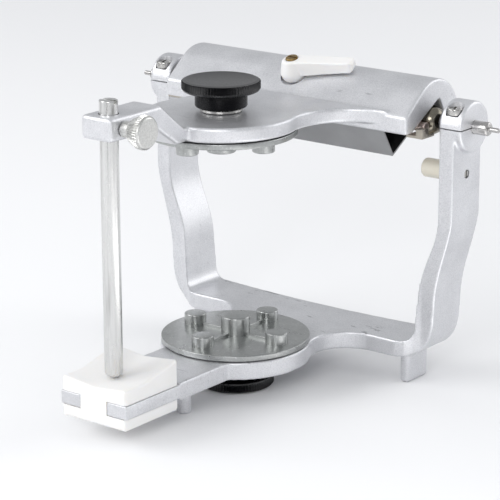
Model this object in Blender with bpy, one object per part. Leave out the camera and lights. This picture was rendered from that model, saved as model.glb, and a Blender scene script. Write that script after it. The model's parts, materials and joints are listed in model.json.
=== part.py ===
"""Dental articulator: a hinged jaw simulator on a cast frame with a sliding condyle carriage.

Outlines and profiles are in millimetres, with X to the right, Y to the back and Z up from the
ground. Y is measured from the hinge axis. Finished objects are in metres, and arrange() moves the
whole assembly so that its origin is the middle of its footprint on the ground.
"""

import math

import bmesh
import bpy
from mathutils import Matrix, Vector

MM = 0.001
GAP = 0.3  # clearance between touching pieces

# Driving dimensions
HINGE_Z = 90.0
HALF_WIDTH = 75.0  # tip of a face-bow pin
TABLE_FRONT = -114.6
SCREW_BACK = 13.0  # rearmost point, on the cover screws
TABLE_BACK = -88.9
PIN_Y = -104.6
PIN_R = 2.95
LOWER_AXIS_Y = -42.85  # lower mounting plate and knob
UPPER_AXIS_Y = -49.72  # upper mounting plate and knob
PLATE_R = 25.0

# Lower frame casting
BASE_LOW = 9.6
BASE_TOP = 15.5
LOWER_PAD_R = 25.2
TONGUE_HALF = 13.7
PRONG_INNER = 5.6
PRONG_LOW = 10.4
PRONG_TOP = 14.8
POST_DEPTH = 8.26
POST_INNER = 57.3
POST_OUTER = 63.0
HEAD_R = 8.53
HEAD_OUTER = 65.8
CLAMP_SCREW = (61.5, -5.5)
CLAMP_SEAT_Z = 94.2
STOP_Z = 73.8
STOP_R = 3.2
STOP_INNER = 46.8
FRONT_FOOT = (4.6, -75.8)
FRONT_FOOT_R = 2.5

# Upper frame casting
PAD_LOW = 90.3
PAD_TOP = 95.3
UPPER_PAD_R = 25.3
HOUSING_HALF = 50.5
HOUSING_CAVITY = 42.0  # half length of the hollow middle
HOUSING_R = 13.7
HOUSING_AXIS_Z = 90.2
HOUSING_WALL = 2.8
LIP_FRONT = -17.5
LIP_LOW = 88.1
REAR_LOW = 94.3
ARM_HALF = 6.1
ARM_FRONT = -110.7
ARM_LOW = 96.9
ARM_TOP = 104.5
THUMBSCREW_Z = 100.5

# Condyle path: the carriage slides in the upper frame along this slope
PATH_SLOPE = math.radians(30.0)
BALL_R = 4.9
BALL_X = 48.5
BALL_BORE_R = 2.05
GUIDE_CLEARANCE = 0.25
SHAFT_R = 2.3
FACEBOW_PIN_R = 0.8
JOURNAL_R = 1.75
SHOULDER_X = 54.2
ROD_R = 1.6
ROD_HALF = 51.7
ROD_Y = -7.1
ROD_Z = 89.2
SPRING_LENGTH = 14.0
SPRING_X = 32.0

# Lock lever: its axis leans forward, and its own sizes are measured along that axis
LEVER = (-1.1, -8.7, 100.7)
LEVER_TILT = math.radians(17.0)
LEVER_SEAT = -2.3
LEVER_BOSS_R = 5.6
LEVER_TOP = 5.6
LEVER_TURN = math.radians(13.3)

MANIFOLD = "MANIFOLD"  # for the meshes on which the exact solver leaves open edges


def point_on_path(distance, offset=0.0):
    """A (Y, Z) point along the condyle path from the hinge axis, and square to it."""
    run = distance * math.cos(PATH_SLOPE) - offset * math.sin(PATH_SLOPE)
    rise = distance * math.sin(PATH_SLOPE) + offset * math.cos(PATH_SLOPE)
    return run, HINGE_Z + rise


def rod_to_anchor(distance):
    """A (Y, Z) point on the spring's centre line, measured from the centring rod."""
    return (
        ROD_Y + distance * math.cos(PATH_SLOPE),
        ROD_Z + distance * math.sin(PATH_SLOPE),
    )


# ---------------------------------------------------------------- mesh tools


def clear_scene():
    for obj in list(bpy.data.objects):
        bpy.data.objects.remove(obj, do_unlink=True)


def make_object(name, bm):
    """Finish a mesh drawn in millimetres as an object in metres."""
    bmesh.ops.scale(bm, vec=(MM, MM, MM), verts=bm.verts)
    bmesh.ops.recalc_face_normals(bm, faces=bm.faces)
    mesh = bpy.data.meshes.new(name)
    bm.to_mesh(mesh)
    bm.free()
    obj = bpy.data.objects.new(name, mesh)
    bpy.context.scene.collection.objects.link(obj)
    return obj


def prism(name, outline, axis, low, high):
    """Extrude a closed outline along an axis; it is (Y, Z), (X, Z) or (X, Y)."""
    place = {
        "X": lambda u, v, w: (w, u, v),
        "Y": lambda u, v, w: (u, w, v),
        "Z": lambda u, v, w: (u, v, w),
    }[axis]
    bm = bmesh.new()
    near = [bm.verts.new(place(u, v, low)) for u, v in outline]
    far = [bm.verts.new(place(u, v, high)) for u, v in outline]
    bm.faces.new(near)
    bm.faces.new(far)
    for i in range(len(outline)):
        j = (i + 1) % len(outline)
        bm.faces.new((near[i], near[j], far[j], far[i]))
    return make_object(name, bm)


def box(name, low, high):
    """A plain block between two corners, for cutters and small blocks."""
    outline = [(low[0], low[1]), (high[0], low[1]), (high[0], high[1]), (low[0], high[1])]
    return prism(name, outline, "Z", low[2], high[2])


def lathe(name, profile, centre, axis="Z", segments=32):
    """Turn (radius, distance) points about an axis through a centre."""
    place = {
        "X": lambda a, b, h: (h, a, b),
        "Y": lambda a, b, h: (b, h, a),
        "Z": lambda a, b, h: (a, b, h),
    }[axis]
    bm = bmesh.new()
    rings = []
    for radius, height in profile:
        count = segments if radius > 0 else 1
        ring = []
        for i in range(count):
            turn = 2 * math.pi * i / segments
            spot = place(radius * math.cos(turn), radius * math.sin(turn), height)
            ring.append(bm.verts.new(Vector(centre) + Vector(spot)))
        rings.append(ring)
    solid_core = len(rings[0]) == 1 or len(rings[-1]) == 1
    last = len(rings) - 1 if solid_core else len(rings)
    for i in range(last):
        join_rings(bm, rings[i], rings[(i + 1) % len(rings)], segments)
    return make_object(name, bm)


def join_rings(bm, first, second, segments):
    for i in range(segments):
        j = (i + 1) % segments
        if len(first) == 1:
            bm.faces.new((first[0], second[i], second[j]))
        elif len(second) == 1:
            bm.faces.new((first[i], first[j], second[0]))
        else:
            bm.faces.new((first[i], first[j], second[j], second[i]))


def rod(name, radius, centre, low, high, axis="Z", segments=24, chamfer=0.0):
    """A plain round bar from low to high along its axis."""
    c = chamfer
    profile = [(0, low), (radius - c, low), (radius, low + c), (radius, high - c)]
    profile += [(radius - c, high), (0, high)]
    if not c:
        profile = [(0, low), (radius, low), (radius, high), (0, high)]
    return lathe(name, profile, centre, axis, segments)


def settle(obj):
    """Replace an object's mesh by the one that its modifiers make."""
    depsgraph = bpy.context.evaluated_depsgraph_get()
    mesh = bpy.data.meshes.new_from_object(obj.evaluated_get(depsgraph))
    obj.modifiers.clear()
    obj.data = mesh


def combine(target, others, operation, solver="EXACT"):
    """Join, cut or intersect an object with others, which are used up."""
    for other in others:
        modifier = target.modifiers.new(operation.lower(), "BOOLEAN")
        modifier.operation = operation
        modifier.solver = solver
        modifier.object = other
    settle(target)
    for other in others:
        bpy.data.objects.remove(other, do_unlink=True)
    return target


def bevel(obj, width, segments=2, angle=50.0):
    """Round an object's sharp edges."""
    modifier = obj.modifiers.new("bevel", "BEVEL")
    modifier.width = width * MM
    modifier.segments = segments
    modifier.limit_method = "ANGLE"
    modifier.angle_limit = math.radians(angle)
    settle(obj)
    return obj


def arc(centre, radius, start, end, count):
    """Points on an arc, with its angles in degrees."""
    points = []
    for i in range(count + 1):
        turn = math.radians(start + (end - start) * i / count)
        points.append((centre[0] + radius * math.cos(turn), centre[1] + radius * math.sin(turn)))
    return points


def curve(p0, p1, p2, p3, count):
    """Points on a cubic Bezier curve, without its last point."""
    points = []
    for i in range(count):
        t = i / count
        weights = ((1 - t) ** 3, 3 * (1 - t) ** 2 * t, 3 * (1 - t) * t**2, t**3)
        x = sum(w * p[0] for w, p in zip(weights, (p0, p1, p2, p3)))
        y = sum(w * p[1] for w, p in zip(weights, (p0, p1, p2, p3)))
        points.append((x, y))
    return points


def mirrored(half):
    """Close an outline whose right half runs from one end of the centre line to the other."""
    return half + [(-x, y) for x, y in reversed(half) if x > 0]


def fillet_circle(pad_centre_y, pad_r, line_y, fillet_r):
    """Centre of the neck fillet that touches a pad's circle and the cross-bar's front line."""
    y = line_y - fillet_r
    x = math.sqrt((pad_r + fillet_r) ** 2 - (y - pad_centre_y) ** 2)
    return x, y


def neck(pad_centre_y, pad_r, start_x, line_y, fillet_r, count):
    """Right side of a round pad that flares into a cross-bar, from front to back."""
    cx, cy = fillet_circle(pad_centre_y, pad_r, line_y, fillet_r)
    start = -math.degrees(math.acos(start_x / pad_r))
    touch = math.degrees(math.atan2(cy - pad_centre_y, cx))
    pad = arc((0, pad_centre_y), pad_r, start, touch, 3 * count)
    flare = arc((cx, cy), fillet_r, touch + 180, 90, count)
    return pad + flare[1:]


# ---------------------------------------------------------------- lower frame


def frame_front_view():
    """U-shaped (X, Z) outline of the cross-bar and its two S-curved posts."""
    right = curve((45.0, BASE_TOP), (47.8, BASE_TOP), (48.9, 16.8), (49.3, 20.0), 5)
    right += curve((49.3, 20.0), (49.6, 25.0), (50.0, 28.0), (50.3, 32.0), 2)
    right += curve((50.3, 32.0), (50.9, 43.0), (57.3, 49.0), (POST_INNER, 59.0), 9)
    right += [(POST_INNER, 59.0), (POST_INNER, HINGE_Z)]
    right += [(POST_OUTER, HINGE_Z)]
    right += curve((POST_OUTER, 61.0), (POST_OUTER, 53.0), (57.0, 41.0), (56.6, 30.0), 9)
    right += curve((56.6, 30.0), (56.5, 27.0), (56.4, 25.0), (56.2, 22.5), 1)
    right += curve((56.2, 22.5), (55.4, 15.0), (51.5, BASE_LOW), (42.0, BASE_LOW), 8)
    right += [(42.0, BASE_LOW)]
    return right + [(-x, z) for x, z in reversed(right)]


def frame_plan():
    """(X, Y) outline of the tongue, pad, necks, cross-bar and posts."""
    half = [(TONGUE_HALF, TABLE_BACK + GAP)]
    half += neck(LOWER_AXIS_Y, LOWER_PAD_R, TONGUE_HALF, -11.5, 12.7, 7)
    half += [(43.0, -11.6), (46.5, -10.9), (49.0, -9.2), (51.5, -POST_DEPTH)]
    half += [(70.0, -POST_DEPTH), (70.0, POST_DEPTH), (52.0, POST_DEPTH)]
    half += [(x, 6.2 + 2.4 * (x / 44.0) ** 2) for x in (44.0, 33.0, 22.0, 11.0)]
    return mirrored(half)


def lower_frame():
    frame = prism("lower_frame", frame_front_view(), "Y", -125.0, 20.0)
    plan = prism("plan", frame_plan(), "Z", 0.0, 120.0)
    combine(frame, [plan], "INTERSECT", MANIFOLD)
    bevel(frame, 0.9)
    pieces = []
    for side in (-1, 1):
        pieces += [head(side), prong(side), rear_foot(side), front_foot(side)]
    combine(frame, pieces, "UNION", MANIFOLD)
    cutters = [rod("stud_hole", 3.2, (0, LOWER_AXIS_Y, 0), 5.0, 20.0)]
    for side in (-1, 1):
        cutters += head_cutters(side) + stop_hole(side)
    return combine(frame, cutters, "DIFFERENCE", MANIFOLD)


def head(side):
    """Split clamp round a condyle shaft, at the top of a post."""
    inner, outer = POST_INNER - 0.2, HEAD_OUTER
    profile = [(0, inner), (HEAD_R - 0.4, inner), (HEAD_R, inner + 0.4), (HEAD_R, outer - 1.3)]
    profile += [(HEAD_R - 0.4, outer - 0.4), (HEAD_R - 1.3, outer), (0, outer)]
    profile = [(r, side * x) for r, x in profile]
    return lathe("head", profile, (0, 0, HINGE_Z), "X", 40)


def head_cutters(side):
    """Shaft bore, clamping slit and counterbored screw hole of one head."""
    x, y = side * CLAMP_SCREW[0], CLAMP_SCREW[1]
    ends = sorted((side * 55.0, side * 68.0))
    bore = rod("bore", SHAFT_R + GAP, (0, 0, HINGE_Z), *ends, "X")
    slit = box("slit", (ends[0], -12.0, HINGE_Z - 0.3), (ends[1], -1.5, HINGE_Z + 0.3))
    shank = rod("shank", 1.6, (x, y, 0), 84.0, 97.0)
    counterbore = rod("counterbore", 3.0, (x, y, 0), CLAMP_SEAT_Z, 103.0)
    return [bore, slit, shank, counterbore]


def stop_hole(side):
    """Countersunk hole through a post for the stop's screw."""
    through = sorted((side * 55.0, side * 65.0))
    sink = sorted((side * 61.8, side * 65.0))
    hole = rod("hole", 1.1, (0, 0, STOP_Z), *through, "X", 16)
    return [hole, rod("sink", 1.5, (0, 0, STOP_Z), *sink, "X", 16)]


def prong(side):
    """Flat arm that runs into the incisal table."""
    x = sorted((side * PRONG_INNER, side * TONGUE_HALF))
    low = (x[0], TABLE_FRONT, PRONG_LOW)
    block = box("prong", low, (x[1], TABLE_BACK + 6.0, PRONG_TOP))
    return bevel(block, 0.4, 1)


def rounded_box(name, low, high, radius):
    """A block whose upright edges are rounded."""
    corners = []
    for cx, cy, start in (
        (high[0] - radius, high[1] - radius, 0),
        (low[0] + radius, high[1] - radius, 90),
        (low[0] + radius, low[1] + radius, 180),
        (high[0] - radius, low[1] + radius, 270),
    ):
        corners += arc((cx, cy), radius, start, start + 90, 4)
    return prism(name, corners, "Z", low[2], high[2])


def rear_foot(side):
    """Rounded leg cast under the end of the cross-bar."""
    x = sorted((side * 43.2, side * 47.0))
    return rounded_box("foot", (x[0], -8.5, 0.0), (x[1], 3.4, BASE_TOP - 2.0), 1.5)


def front_foot(side):
    """Round leg under the tongue."""
    x, y = side * FRONT_FOOT[0], FRONT_FOOT[1]
    return rod("front_foot", FRONT_FOOT_R, (x, y, 0), 0.0, BASE_LOW + 2.0, chamfer=0.4)


def incisal_table():
    """White block with a valley between two inclined wings and a rear ramp."""
    half, low, valley = 13.3, 6.3, 18.5
    ramp_start = -105.5
    wing = half * math.tan(math.radians(6.0))
    ramp = (TABLE_BACK - ramp_start) * math.tan(math.radians(13.0))
    bm = bmesh.new()
    base = [bm.verts.new((x, y, low)) for y in (TABLE_FRONT, TABLE_BACK) for x in (-half, half)]
    rows = []
    for y, lift in ((TABLE_FRONT, 0.0), (ramp_start, 0.0), (TABLE_BACK, ramp)):
        heights = ((-half, wing), (0.0, 0.0), (half, wing))
        rows.append([bm.verts.new((x, y, valley + lift + dz)) for x, dz in heights])
    bm.faces.new((base[0], base[1], base[3], base[2]))
    bm.faces.new((base[0], base[1], rows[0][2], rows[0][1], rows[0][0]))
    bm.faces.new((base[2], base[3], rows[2][2], rows[2][1], rows[2][0]))
    bm.faces.new((base[0], base[2], rows[2][0], rows[1][0], rows[0][0]))
    bm.faces.new((base[1], base[3], rows[2][2], rows[1][2], rows[0][2]))
    for near, far in zip(rows, rows[1:]):
        for i in (0, 1):
            bm.faces.new((near[i], near[i + 1], far[i + 1], far[i]))
    table = bevel(make_object("incisal_table", bm), 1.2, 2, 60.0)
    slots = []
    for side in (-1, 1):
        x = sorted((side * (PRONG_INNER - GAP), side * 20.0))
        low_corner = (x[0], -120.0, PRONG_LOW - GAP)
        slots.append(box("slot", low_corner, (x[1], -80.0, PRONG_TOP + GAP)))
    return combine(table, slots, "DIFFERENCE")


# ---------------------------------------------------------------- mounting plates and knobs


def mounting_plate(name, axis_y, back_z, facing):
    """Disc that carries a plaster model: a centre boss, four outer bosses and thin ribs."""
    def heights(points):
        return [(r, back_z + facing * h) for r, h in points]

    centre = (0, axis_y, 0)
    thick = 1.9
    disc = [(0, 0), (PLATE_R - 0.4, 0), (PLATE_R, 0.4), (PLATE_R, thick - 0.4)]
    disc += [(PLATE_R - 0.4, thick), (0, thick)]
    plate = lathe(name, heights(disc), centre, "Z", 56)
    boss = [(0, 1.0), (4.85, 1.0), (4.85, 7.8), (4.45, 8.2), (0, 8.2)]
    pieces = [lathe("centre_boss", heights(boss), centre, "Z", 28)]
    small = [(0, 1.0), (3.7, 1.0), (3.7, 5.4), (3.4, 5.7), (0, 5.7)]
    for dx, dy in ((17.4, 0), (-17.4, 0), (0, 17.4), (0, -17.4)):
        pieces.append(lathe("boss", heights(small), (dx, axis_y + dy, 0), "Z", 20))
    z = sorted((back_z + facing * 1.0, back_z + facing * 2.9))
    pieces.append(box("rib", (-17.0, axis_y - 0.6, z[0]), (17.0, axis_y + 0.6, z[1])))
    pieces.append(box("rib", (-0.6, axis_y - 17.0, z[0]), (0.6, axis_y + 17.0, z[1])))
    combine(plate, pieces, "UNION", MANIFOLD)
    bore = sorted((back_z - facing * 1.0, back_z + facing * 5.7))
    return combine(plate, [rod("bore", 2.8, centre, *bore)], "DIFFERENCE", MANIFOLD)


def clamp_knob(name, axis_y, seat_z, facing, hub_height, band_height):
    """Black disc knob on a hub; facing is +1 when its face looks up."""
    hub_r, band_r, bore_depth = 8.6, 12.9, 4.6
    full = hub_height + band_height
    profile = [(0, bore_depth), (2.8, bore_depth), (2.8, 0), (hub_r - 0.6, 0), (hub_r, 0.6)]
    profile += [(hub_r, hub_height), (band_r - 0.8, hub_height)]
    profile += [(band_r, hub_height + 0.5), (band_r, full - 0.5)]
    profile += [(band_r - 0.9, full), (0, full)]
    profile = [(r, seat_z + facing * h) for r, h in profile]
    return lathe(name, profile[::-1], (0, axis_y, 0), "Z", 56)


def washer(name, centre, inner, outer, low, high, axis="Z", segments=32):
    profile = [(inner, low), (outer, low), (outer, high), (inner, high)]
    return lathe(name, profile, centre, axis, segments)


def plate_fasteners():
    """Knob, stud and washer that hold each mounting plate."""
    washer("upper_washer", (0, UPPER_AXIS_Y, 0), 2.9, 7.0, PAD_TOP + GAP, 96.6)
    clamp_knob("upper_knob", UPPER_AXIS_Y, 96.9, 1, 5.1, 3.93)
    rod("upper_stud", 2.5, (0, UPPER_AXIS_Y, 0), 84.6, 101.2, chamfer=0.4)
    washer("lower_washer", (0, LOWER_AXIS_Y, 0), 2.9, 7.0, 8.4, BASE_LOW - GAP)
    clamp_knob("lower_knob", LOWER_AXIS_Y, 8.1, -1, 4.0, 3.8)
    rod("lower_stud", 2.5, (0, LOWER_AXIS_Y, 0), 3.8, 21.2, chamfer=0.4)


# ---------------------------------------------------------------- parts on the heads and posts


def condyle_shaft(name, side):
    """Clamped shaft: inner journal for the ball, outer face-bow pin."""
    profile = [(0, 44.6), (JOURNAL_R, 44.6), (JOURNAL_R, SHOULDER_X), (SHAFT_R, SHOULDER_X)]
    profile += [(SHAFT_R, 70.8), (SHAFT_R - 0.5, 71.4), (FACEBOW_PIN_R, 71.4)]
    profile += [(FACEBOW_PIN_R, HALF_WIDTH), (0, HALF_WIDTH)]
    return lathe(name, [(r, side * x) for r, x in profile], (0, 0, HINGE_Z), "X", 24)


def clamp_screw(name, side):
    """Cross-slotted cheese-head screw that closes a head on its shaft."""
    x, y = side * CLAMP_SCREW[0], CLAMP_SCREW[1]
    seat = CLAMP_SEAT_Z + GAP
    profile = [(0, 84.4), (1.3, 84.4), (1.3, seat), (2.7, seat), (2.7, seat + 1.9)]
    profile += [(2.3, seat + 2.3), (0, seat + 2.3)]
    screw = lathe(name, profile, (x, y, 0), "Z", 24)
    low, high = seat + 1.3, seat + 3.0
    across = box("slot", (x - 1.9, y - 0.4, low), (x + 1.9, y + 0.4, high))
    along = box("slot", (x - 0.4, y - 1.9, low), (x + 0.4, y + 1.9, high))
    return combine(screw, [across, along], "DIFFERENCE")


def stop(name, screw_name, side):
    """Nylon stop inside a post, and the small screw that holds it."""
    outer = POST_INNER - GAP
    profile = [(0, STOP_INNER), (2.4, STOP_INNER), (STOP_R, STOP_INNER + 0.8), (STOP_R, outer)]
    profile += [(1.1, outer), (1.1, 51.0), (0, 51.0)]
    lathe(name, [(r, side * x) for r, x in profile], (0, 0, STOP_Z), "X", 28)
    screw = [(0, 52.0), (0.8, 52.0), (0.8, 62.1), (1.2, 62.1), (1.2, 62.8), (0, 62.8)]
    lathe(screw_name, [(r, side * x) for r, x in screw], (0, 0, STOP_Z), "X", 16)


def spacer_ring(name, side):
    """Thick washer on the shaft between the ball and the head."""
    ends = sorted((side * 54.8, side * 56.8))
    washer(name, (0, 0, HINGE_Z), SHAFT_R + GAP, 5.0, *ends, "X", 32)


# ---------------------------------------------------------------- condyle carriage


def condyle_ball(name, side):
    """Steel ball that turns on the shaft and runs in the guide."""
    profile = []
    bore_end = math.sqrt(BALL_R**2 - BALL_BORE_R**2)
    for i in range(11):
        x = -bore_end + 2 * bore_end * i / 10
        profile.append((math.sqrt(BALL_R**2 - x**2), BALL_X + x))
    return lathe(name, [(r, side * x) for r, x in profile], (0, 0, HINGE_Z), "X", 28)


def carriage_plate(name, side):
    """Flat plate under the centring rod, with a tab turned up outside the housing."""
    inner, outer, low, top, tab_top = 47.4, 53.7, 86.4, 87.3, 89.5
    outline = [(inner, low), (outer, low), (outer, tab_top), (51.1, tab_top), (51.1, top)]
    outline = [(side * x, z) for x, z in outline + [(inner, top)]]
    plate = prism(name, outline, "Y", -12.6, -9.1)
    ends = sorted((side * inner, side * outer))
    rear = box("rear", (ends[0], -9.3, low), (ends[1], -5.6, top - 0.1))
    return combine(plate, [rear], "UNION")


def return_spring(name, side):
    """Tension spring from the centring rod back to the anchor rod."""
    wire, coil_r, turns = 0.35, 2.0, 7
    path = []
    for i in range(9):
        turn = math.radians(330 - 37.5 * i)
        path.append((2.55 * math.cos(turn), 2.55 * math.sin(turn), 0.0))
    start, end = 3.6, SPRING_LENGTH - 2.6
    for i in range(8 * turns + 1):
        turn = math.pi / 2 + 2 * math.pi * i / 8
        along = start + (end - start) * i / (8 * turns)
        path.append((along, coil_r * math.sin(turn), coil_r * math.cos(turn)))
    for i in range(8):
        turn = math.radians(150 - 42.5 * i)
        path.append((SPRING_LENGTH + 1.55 * math.cos(turn), 1.55 * math.sin(turn), 0.0))
    points = []
    for along, lift, across in path:
        y, z = rod_to_anchor(along)
        y -= lift * math.sin(PATH_SLOPE)
        z += lift * math.cos(PATH_SLOPE)
        points.append(Vector((side * SPRING_X + across, y, z)))
    return tube(name, points, wire, 6)


def tube(name, points, radius, sides):
    """A round wire along a list of points."""
    bm = bmesh.new()
    rings = []
    normal = Vector((1, 0, 0))
    for i, point in enumerate(points):
        forward = points[min(i + 1, len(points) - 1)] - points[max(i - 1, 0)]
        forward.normalize()
        normal = (normal - forward * normal.dot(forward)).normalized()
        other = forward.cross(normal)
        ring = []
        for k in range(sides):
            turn = 2 * math.pi * k / sides
            offset = normal * math.cos(turn) + other * math.sin(turn)
            ring.append(bm.verts.new(point + offset * radius))
        rings.append(ring)
    for first, second in zip(rings, rings[1:]):
        join_rings(bm, first, second, sides)
    bm.faces.new(rings[0])
    bm.faces.new(rings[-1])
    return make_object(name, bm)


def carriage():
    for side, hand in ((-1, "left"), (1, "right")):
        condyle_ball(f"condyle_ball_{hand}", side)
        carriage_plate(f"carriage_plate_{hand}", side)
        return_spring(f"return_spring_{hand}", side)
    rod("centring_rod", ROD_R, (0, ROD_Y, ROD_Z), -ROD_HALF, ROD_HALF, "X", 20, 0.4)


# ---------------------------------------------------------------- upper frame


def housing_outside():
    """(Y, Z) outline of the half-round cover, from the front lip over to the back edge."""
    rear = math.degrees(math.asin((REAR_LOW - HOUSING_AXIS_Z) / HOUSING_R))
    top = arc((0, HOUSING_AXIS_Z), HOUSING_R, 129.0, rear, 12)
    return [(LIP_FRONT, LIP_LOW), (LIP_FRONT, 93.6), (-16.9, 94.25)] + top


def housing_cavity():
    """(Y, Z) outline of the hollow middle: the outside set in by the wall, and all below it."""
    inner_r = HOUSING_R - HOUSING_WALL
    rear = math.degrees(math.asin((REAR_LOW - HOUSING_AXIS_Z) / inner_r))
    roof = arc((0, HOUSING_AXIS_Z), inner_r, rear, 129.0, 10)
    lip_back = LIP_FRONT + HOUSING_WALL
    drop = (roof[-1][0] - lip_back) * math.tan(math.radians(39.0))
    below = [(lip_back, roof[-1][1] - drop), (lip_back, 80.0), (20.0, 80.0)]
    return roof + below + [(20.0, REAR_LOW)]


def housing_end():
    """End section: filled down to the condyle guide and its rear seat."""
    reach = BALL_R + GUIDE_CLEARANCE
    corner = point_on_path(reach, reach)
    seat = (corner[0] + 3.4, corner[1] - 3.4 / math.tan(PATH_SLOPE))
    start_y = -13.5
    start = (start_y, corner[1] - (corner[0] - start_y) * math.tan(PATH_SLOPE))
    return housing_outside() + [seat, corner, start, (start_y - 0.6, LIP_LOW)]


def upper_plan():
    """(X, Y) outline of the pad with its necks to the housing."""
    half = neck(UPPER_AXIS_Y, UPPER_PAD_R, 9.0, -17.4, 19.0, 7)
    half += [(44.0, -15.8)]
    front = [(0.0, -74.9), (9.0, UPPER_AXIS_Y - math.sqrt(UPPER_PAD_R**2 - 81.0))]
    return mirrored(front[:1] + half)


def arm_side():
    """(Y, Z) outline of the arm: flat top, sloping down to the pad."""
    return [
        (ARM_FRONT, ARM_LOW),
        (ARM_FRONT, ARM_TOP),
        (-86.8, ARM_TOP),
        (-75.2, PAD_TOP - 0.05),
        (-66.0, PAD_TOP - 0.6),
        (-66.0, PAD_LOW + 0.6),
        (-79.0, PAD_LOW + 0.05),
        (-88.5, ARM_LOW),
    ]


def upper_frame():
    """Casting: half-round housing, pad and arm in one piece."""
    housing = prism("upper_frame", housing_end(), "X", -HOUSING_HALF, HOUSING_HALF)
    bevel(housing, 0.6, 2, 60.0)
    cut = prism("cavity", housing_cavity(), "X", -HOUSING_CAVITY, HOUSING_CAVITY)
    lever_boss = lean(rod("boss", LEVER_BOSS_R, (0, 0, 0), LEVER_SEAT - 3.0, 10.0))
    combine(cut, [lever_boss], "DIFFERENCE", MANIFOLD)
    combine(housing, [cut], "DIFFERENCE", MANIFOLD)
    pad = bevel(prism("pad", upper_plan(), "Z", PAD_LOW, PAD_TOP), 0.7)
    arm = bevel(prism("arm", arm_side(), "X", -ARM_HALF, ARM_HALF), 0.8)
    combine(housing, [pad, arm], "UNION", MANIFOLD)
    return combine(housing, upper_frame_holes(), "DIFFERENCE", MANIFOLD)


def upper_frame_holes():
    cutters = [
        rod("stud_hole", 3.2, (0, UPPER_AXIS_Y, 0), 80.0, 110.0),
        rod("pin_hole", PIN_R + GAP, (0, PIN_Y, 0), 90.0, 110.0, "Z", 32),
        rod("thumbscrew_hole", 1.8, (0, PIN_Y, THUMBSCREW_Z), 0.0, 9.0, "X"),
        lean(rod("lever_seat", 4.3, (0, 0, 0), LEVER_SEAT, 15.0, "Z", 32)),
        lean(rod("lever_bore", 1.8, (0, 0, 0), -8.0, 15.0)),
    ]
    anchor_y, anchor_z = rod_to_anchor(SPRING_LENGTH)
    cutters.append(rod("anchor_bores", 1.2, (0, anchor_y, anchor_z), -46.0, 46.0, "X", 16))
    for side in (-1, 1):
        cutters.append(rod("screw_hole", 1.1, (side * 26.0, 0, 95.3), 7.0, 20.0, "Y", 16))
        cutters.append(rod("screw_sink", 2.2, (side * 26.0, 0, 95.3), 11.6, 20.0, "Y", 24))
    return cutters


def under_cover():
    """Folded sheet that closes the housing from below, held by two rear flanges."""
    sheet = 0.5
    outer = [(-14.3, 92.2), (-14.3, 88.4), (-7.9, 77.8), (8.7, 88.0), (8.7, 96.4)]
    inner = [(8.7 - sheet, 96.4), (8.7 - sheet, 88.3), (-7.75, 78.6), (-13.8, 88.6), (-13.8, 92.2)]
    cover = prism("under_cover", outer + inner, "X", -39.0, 39.0)
    holes = []
    for side in (-1, 1):
        holes.append(rod("hole", 0.95, (side * 26.0, 0, 95.3), 5.0, 12.0, "Y", 16))
    return combine(cover, holes, "DIFFERENCE", MANIFOLD)


def cover_screw(name, side):
    """Small screw through the housing's back wall into the cover."""
    seat, end = 11.9, SCREW_BACK
    profile = [(0, 6.6), (0.8, 6.6), (0.8, seat), (1.9, seat), (1.9, end - 0.3), (1.6, end)]
    return lathe(name, profile + [(0, end)], (side * 26.0, 0, 95.3), "Y", 20)


def spring_anchor_rod():
    """Rod across the housing that holds the rear ends of both springs."""
    y, z = rod_to_anchor(SPRING_LENGTH)
    rod("spring_anchor_rod", 0.9, (0, y, z), -45.7, 45.7, "X", 16)


# ---------------------------------------------------------------- pin, thumbscrew and lever


def incisal_pin():
    """Round bar with a domed foot and a driver slot in its top."""
    profile = [(0, 19.1), (1.3, 19.35), (2.3, 19.9), (PIN_R, 21.0), (PIN_R, 108.5), (2.6, 108.85)]
    pin = lathe("incisal_pin", profile + [(0, 108.85)], (0, PIN_Y, 0), "Z", 32)
    slot = box("slot", (-4.0, PIN_Y - 0.7, 107.7), (4.0, PIN_Y + 0.7, 110.0))
    return combine(pin, [slot], "DIFFERENCE")


def pin_thumbscrew():
    """Knurled conical head, collar and shank that clamp the incisal pin."""
    profile = [(0, 3.3), (1.5, 3.3), (1.5, 6.4), (2.6, 6.4), (2.6, 9.8), (3.8, 10.0), (5.4, 13.4)]
    profile += [(5.4, 15.4), (5.0, 15.9), (0, 15.9)]
    return lathe("pin_thumbscrew", profile, (0, PIN_Y, THUMBSCREW_Z), "X", 36)


def lean(obj):
    """Move a piece drawn about the Z axis to the lock lever's leaning axis."""
    place = Matrix.Translation(Vector(LEVER) * MM)
    obj.data.transform(place @ Matrix.Rotation(LEVER_TILT, 4, "X"))
    return obj


def lock_lever():
    """White lever: a tapering handle on a conical boss."""
    low, centre = LEVER_SEAT + GAP, (0, 0, 0)
    cone = [(0, low), (3.55, low), (3.8, low + 0.6), (3.05, LEVER_TOP - 0.3), (2.75, LEVER_TOP)]
    lever = lathe("lock_lever", cone + [(0, LEVER_TOP)], centre, "Z", 28)
    combine(lever, [lever_handle()], "UNION", MANIFOLD)
    top = LEVER_TOP - 0.9
    cutters = [rod("bore", 1.8, centre, -5.0, 9.0), rod("sink", 2.4, centre, top, 9.0)]
    return lean(combine(lever, cutters, "DIFFERENCE", MANIFOLD))


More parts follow.
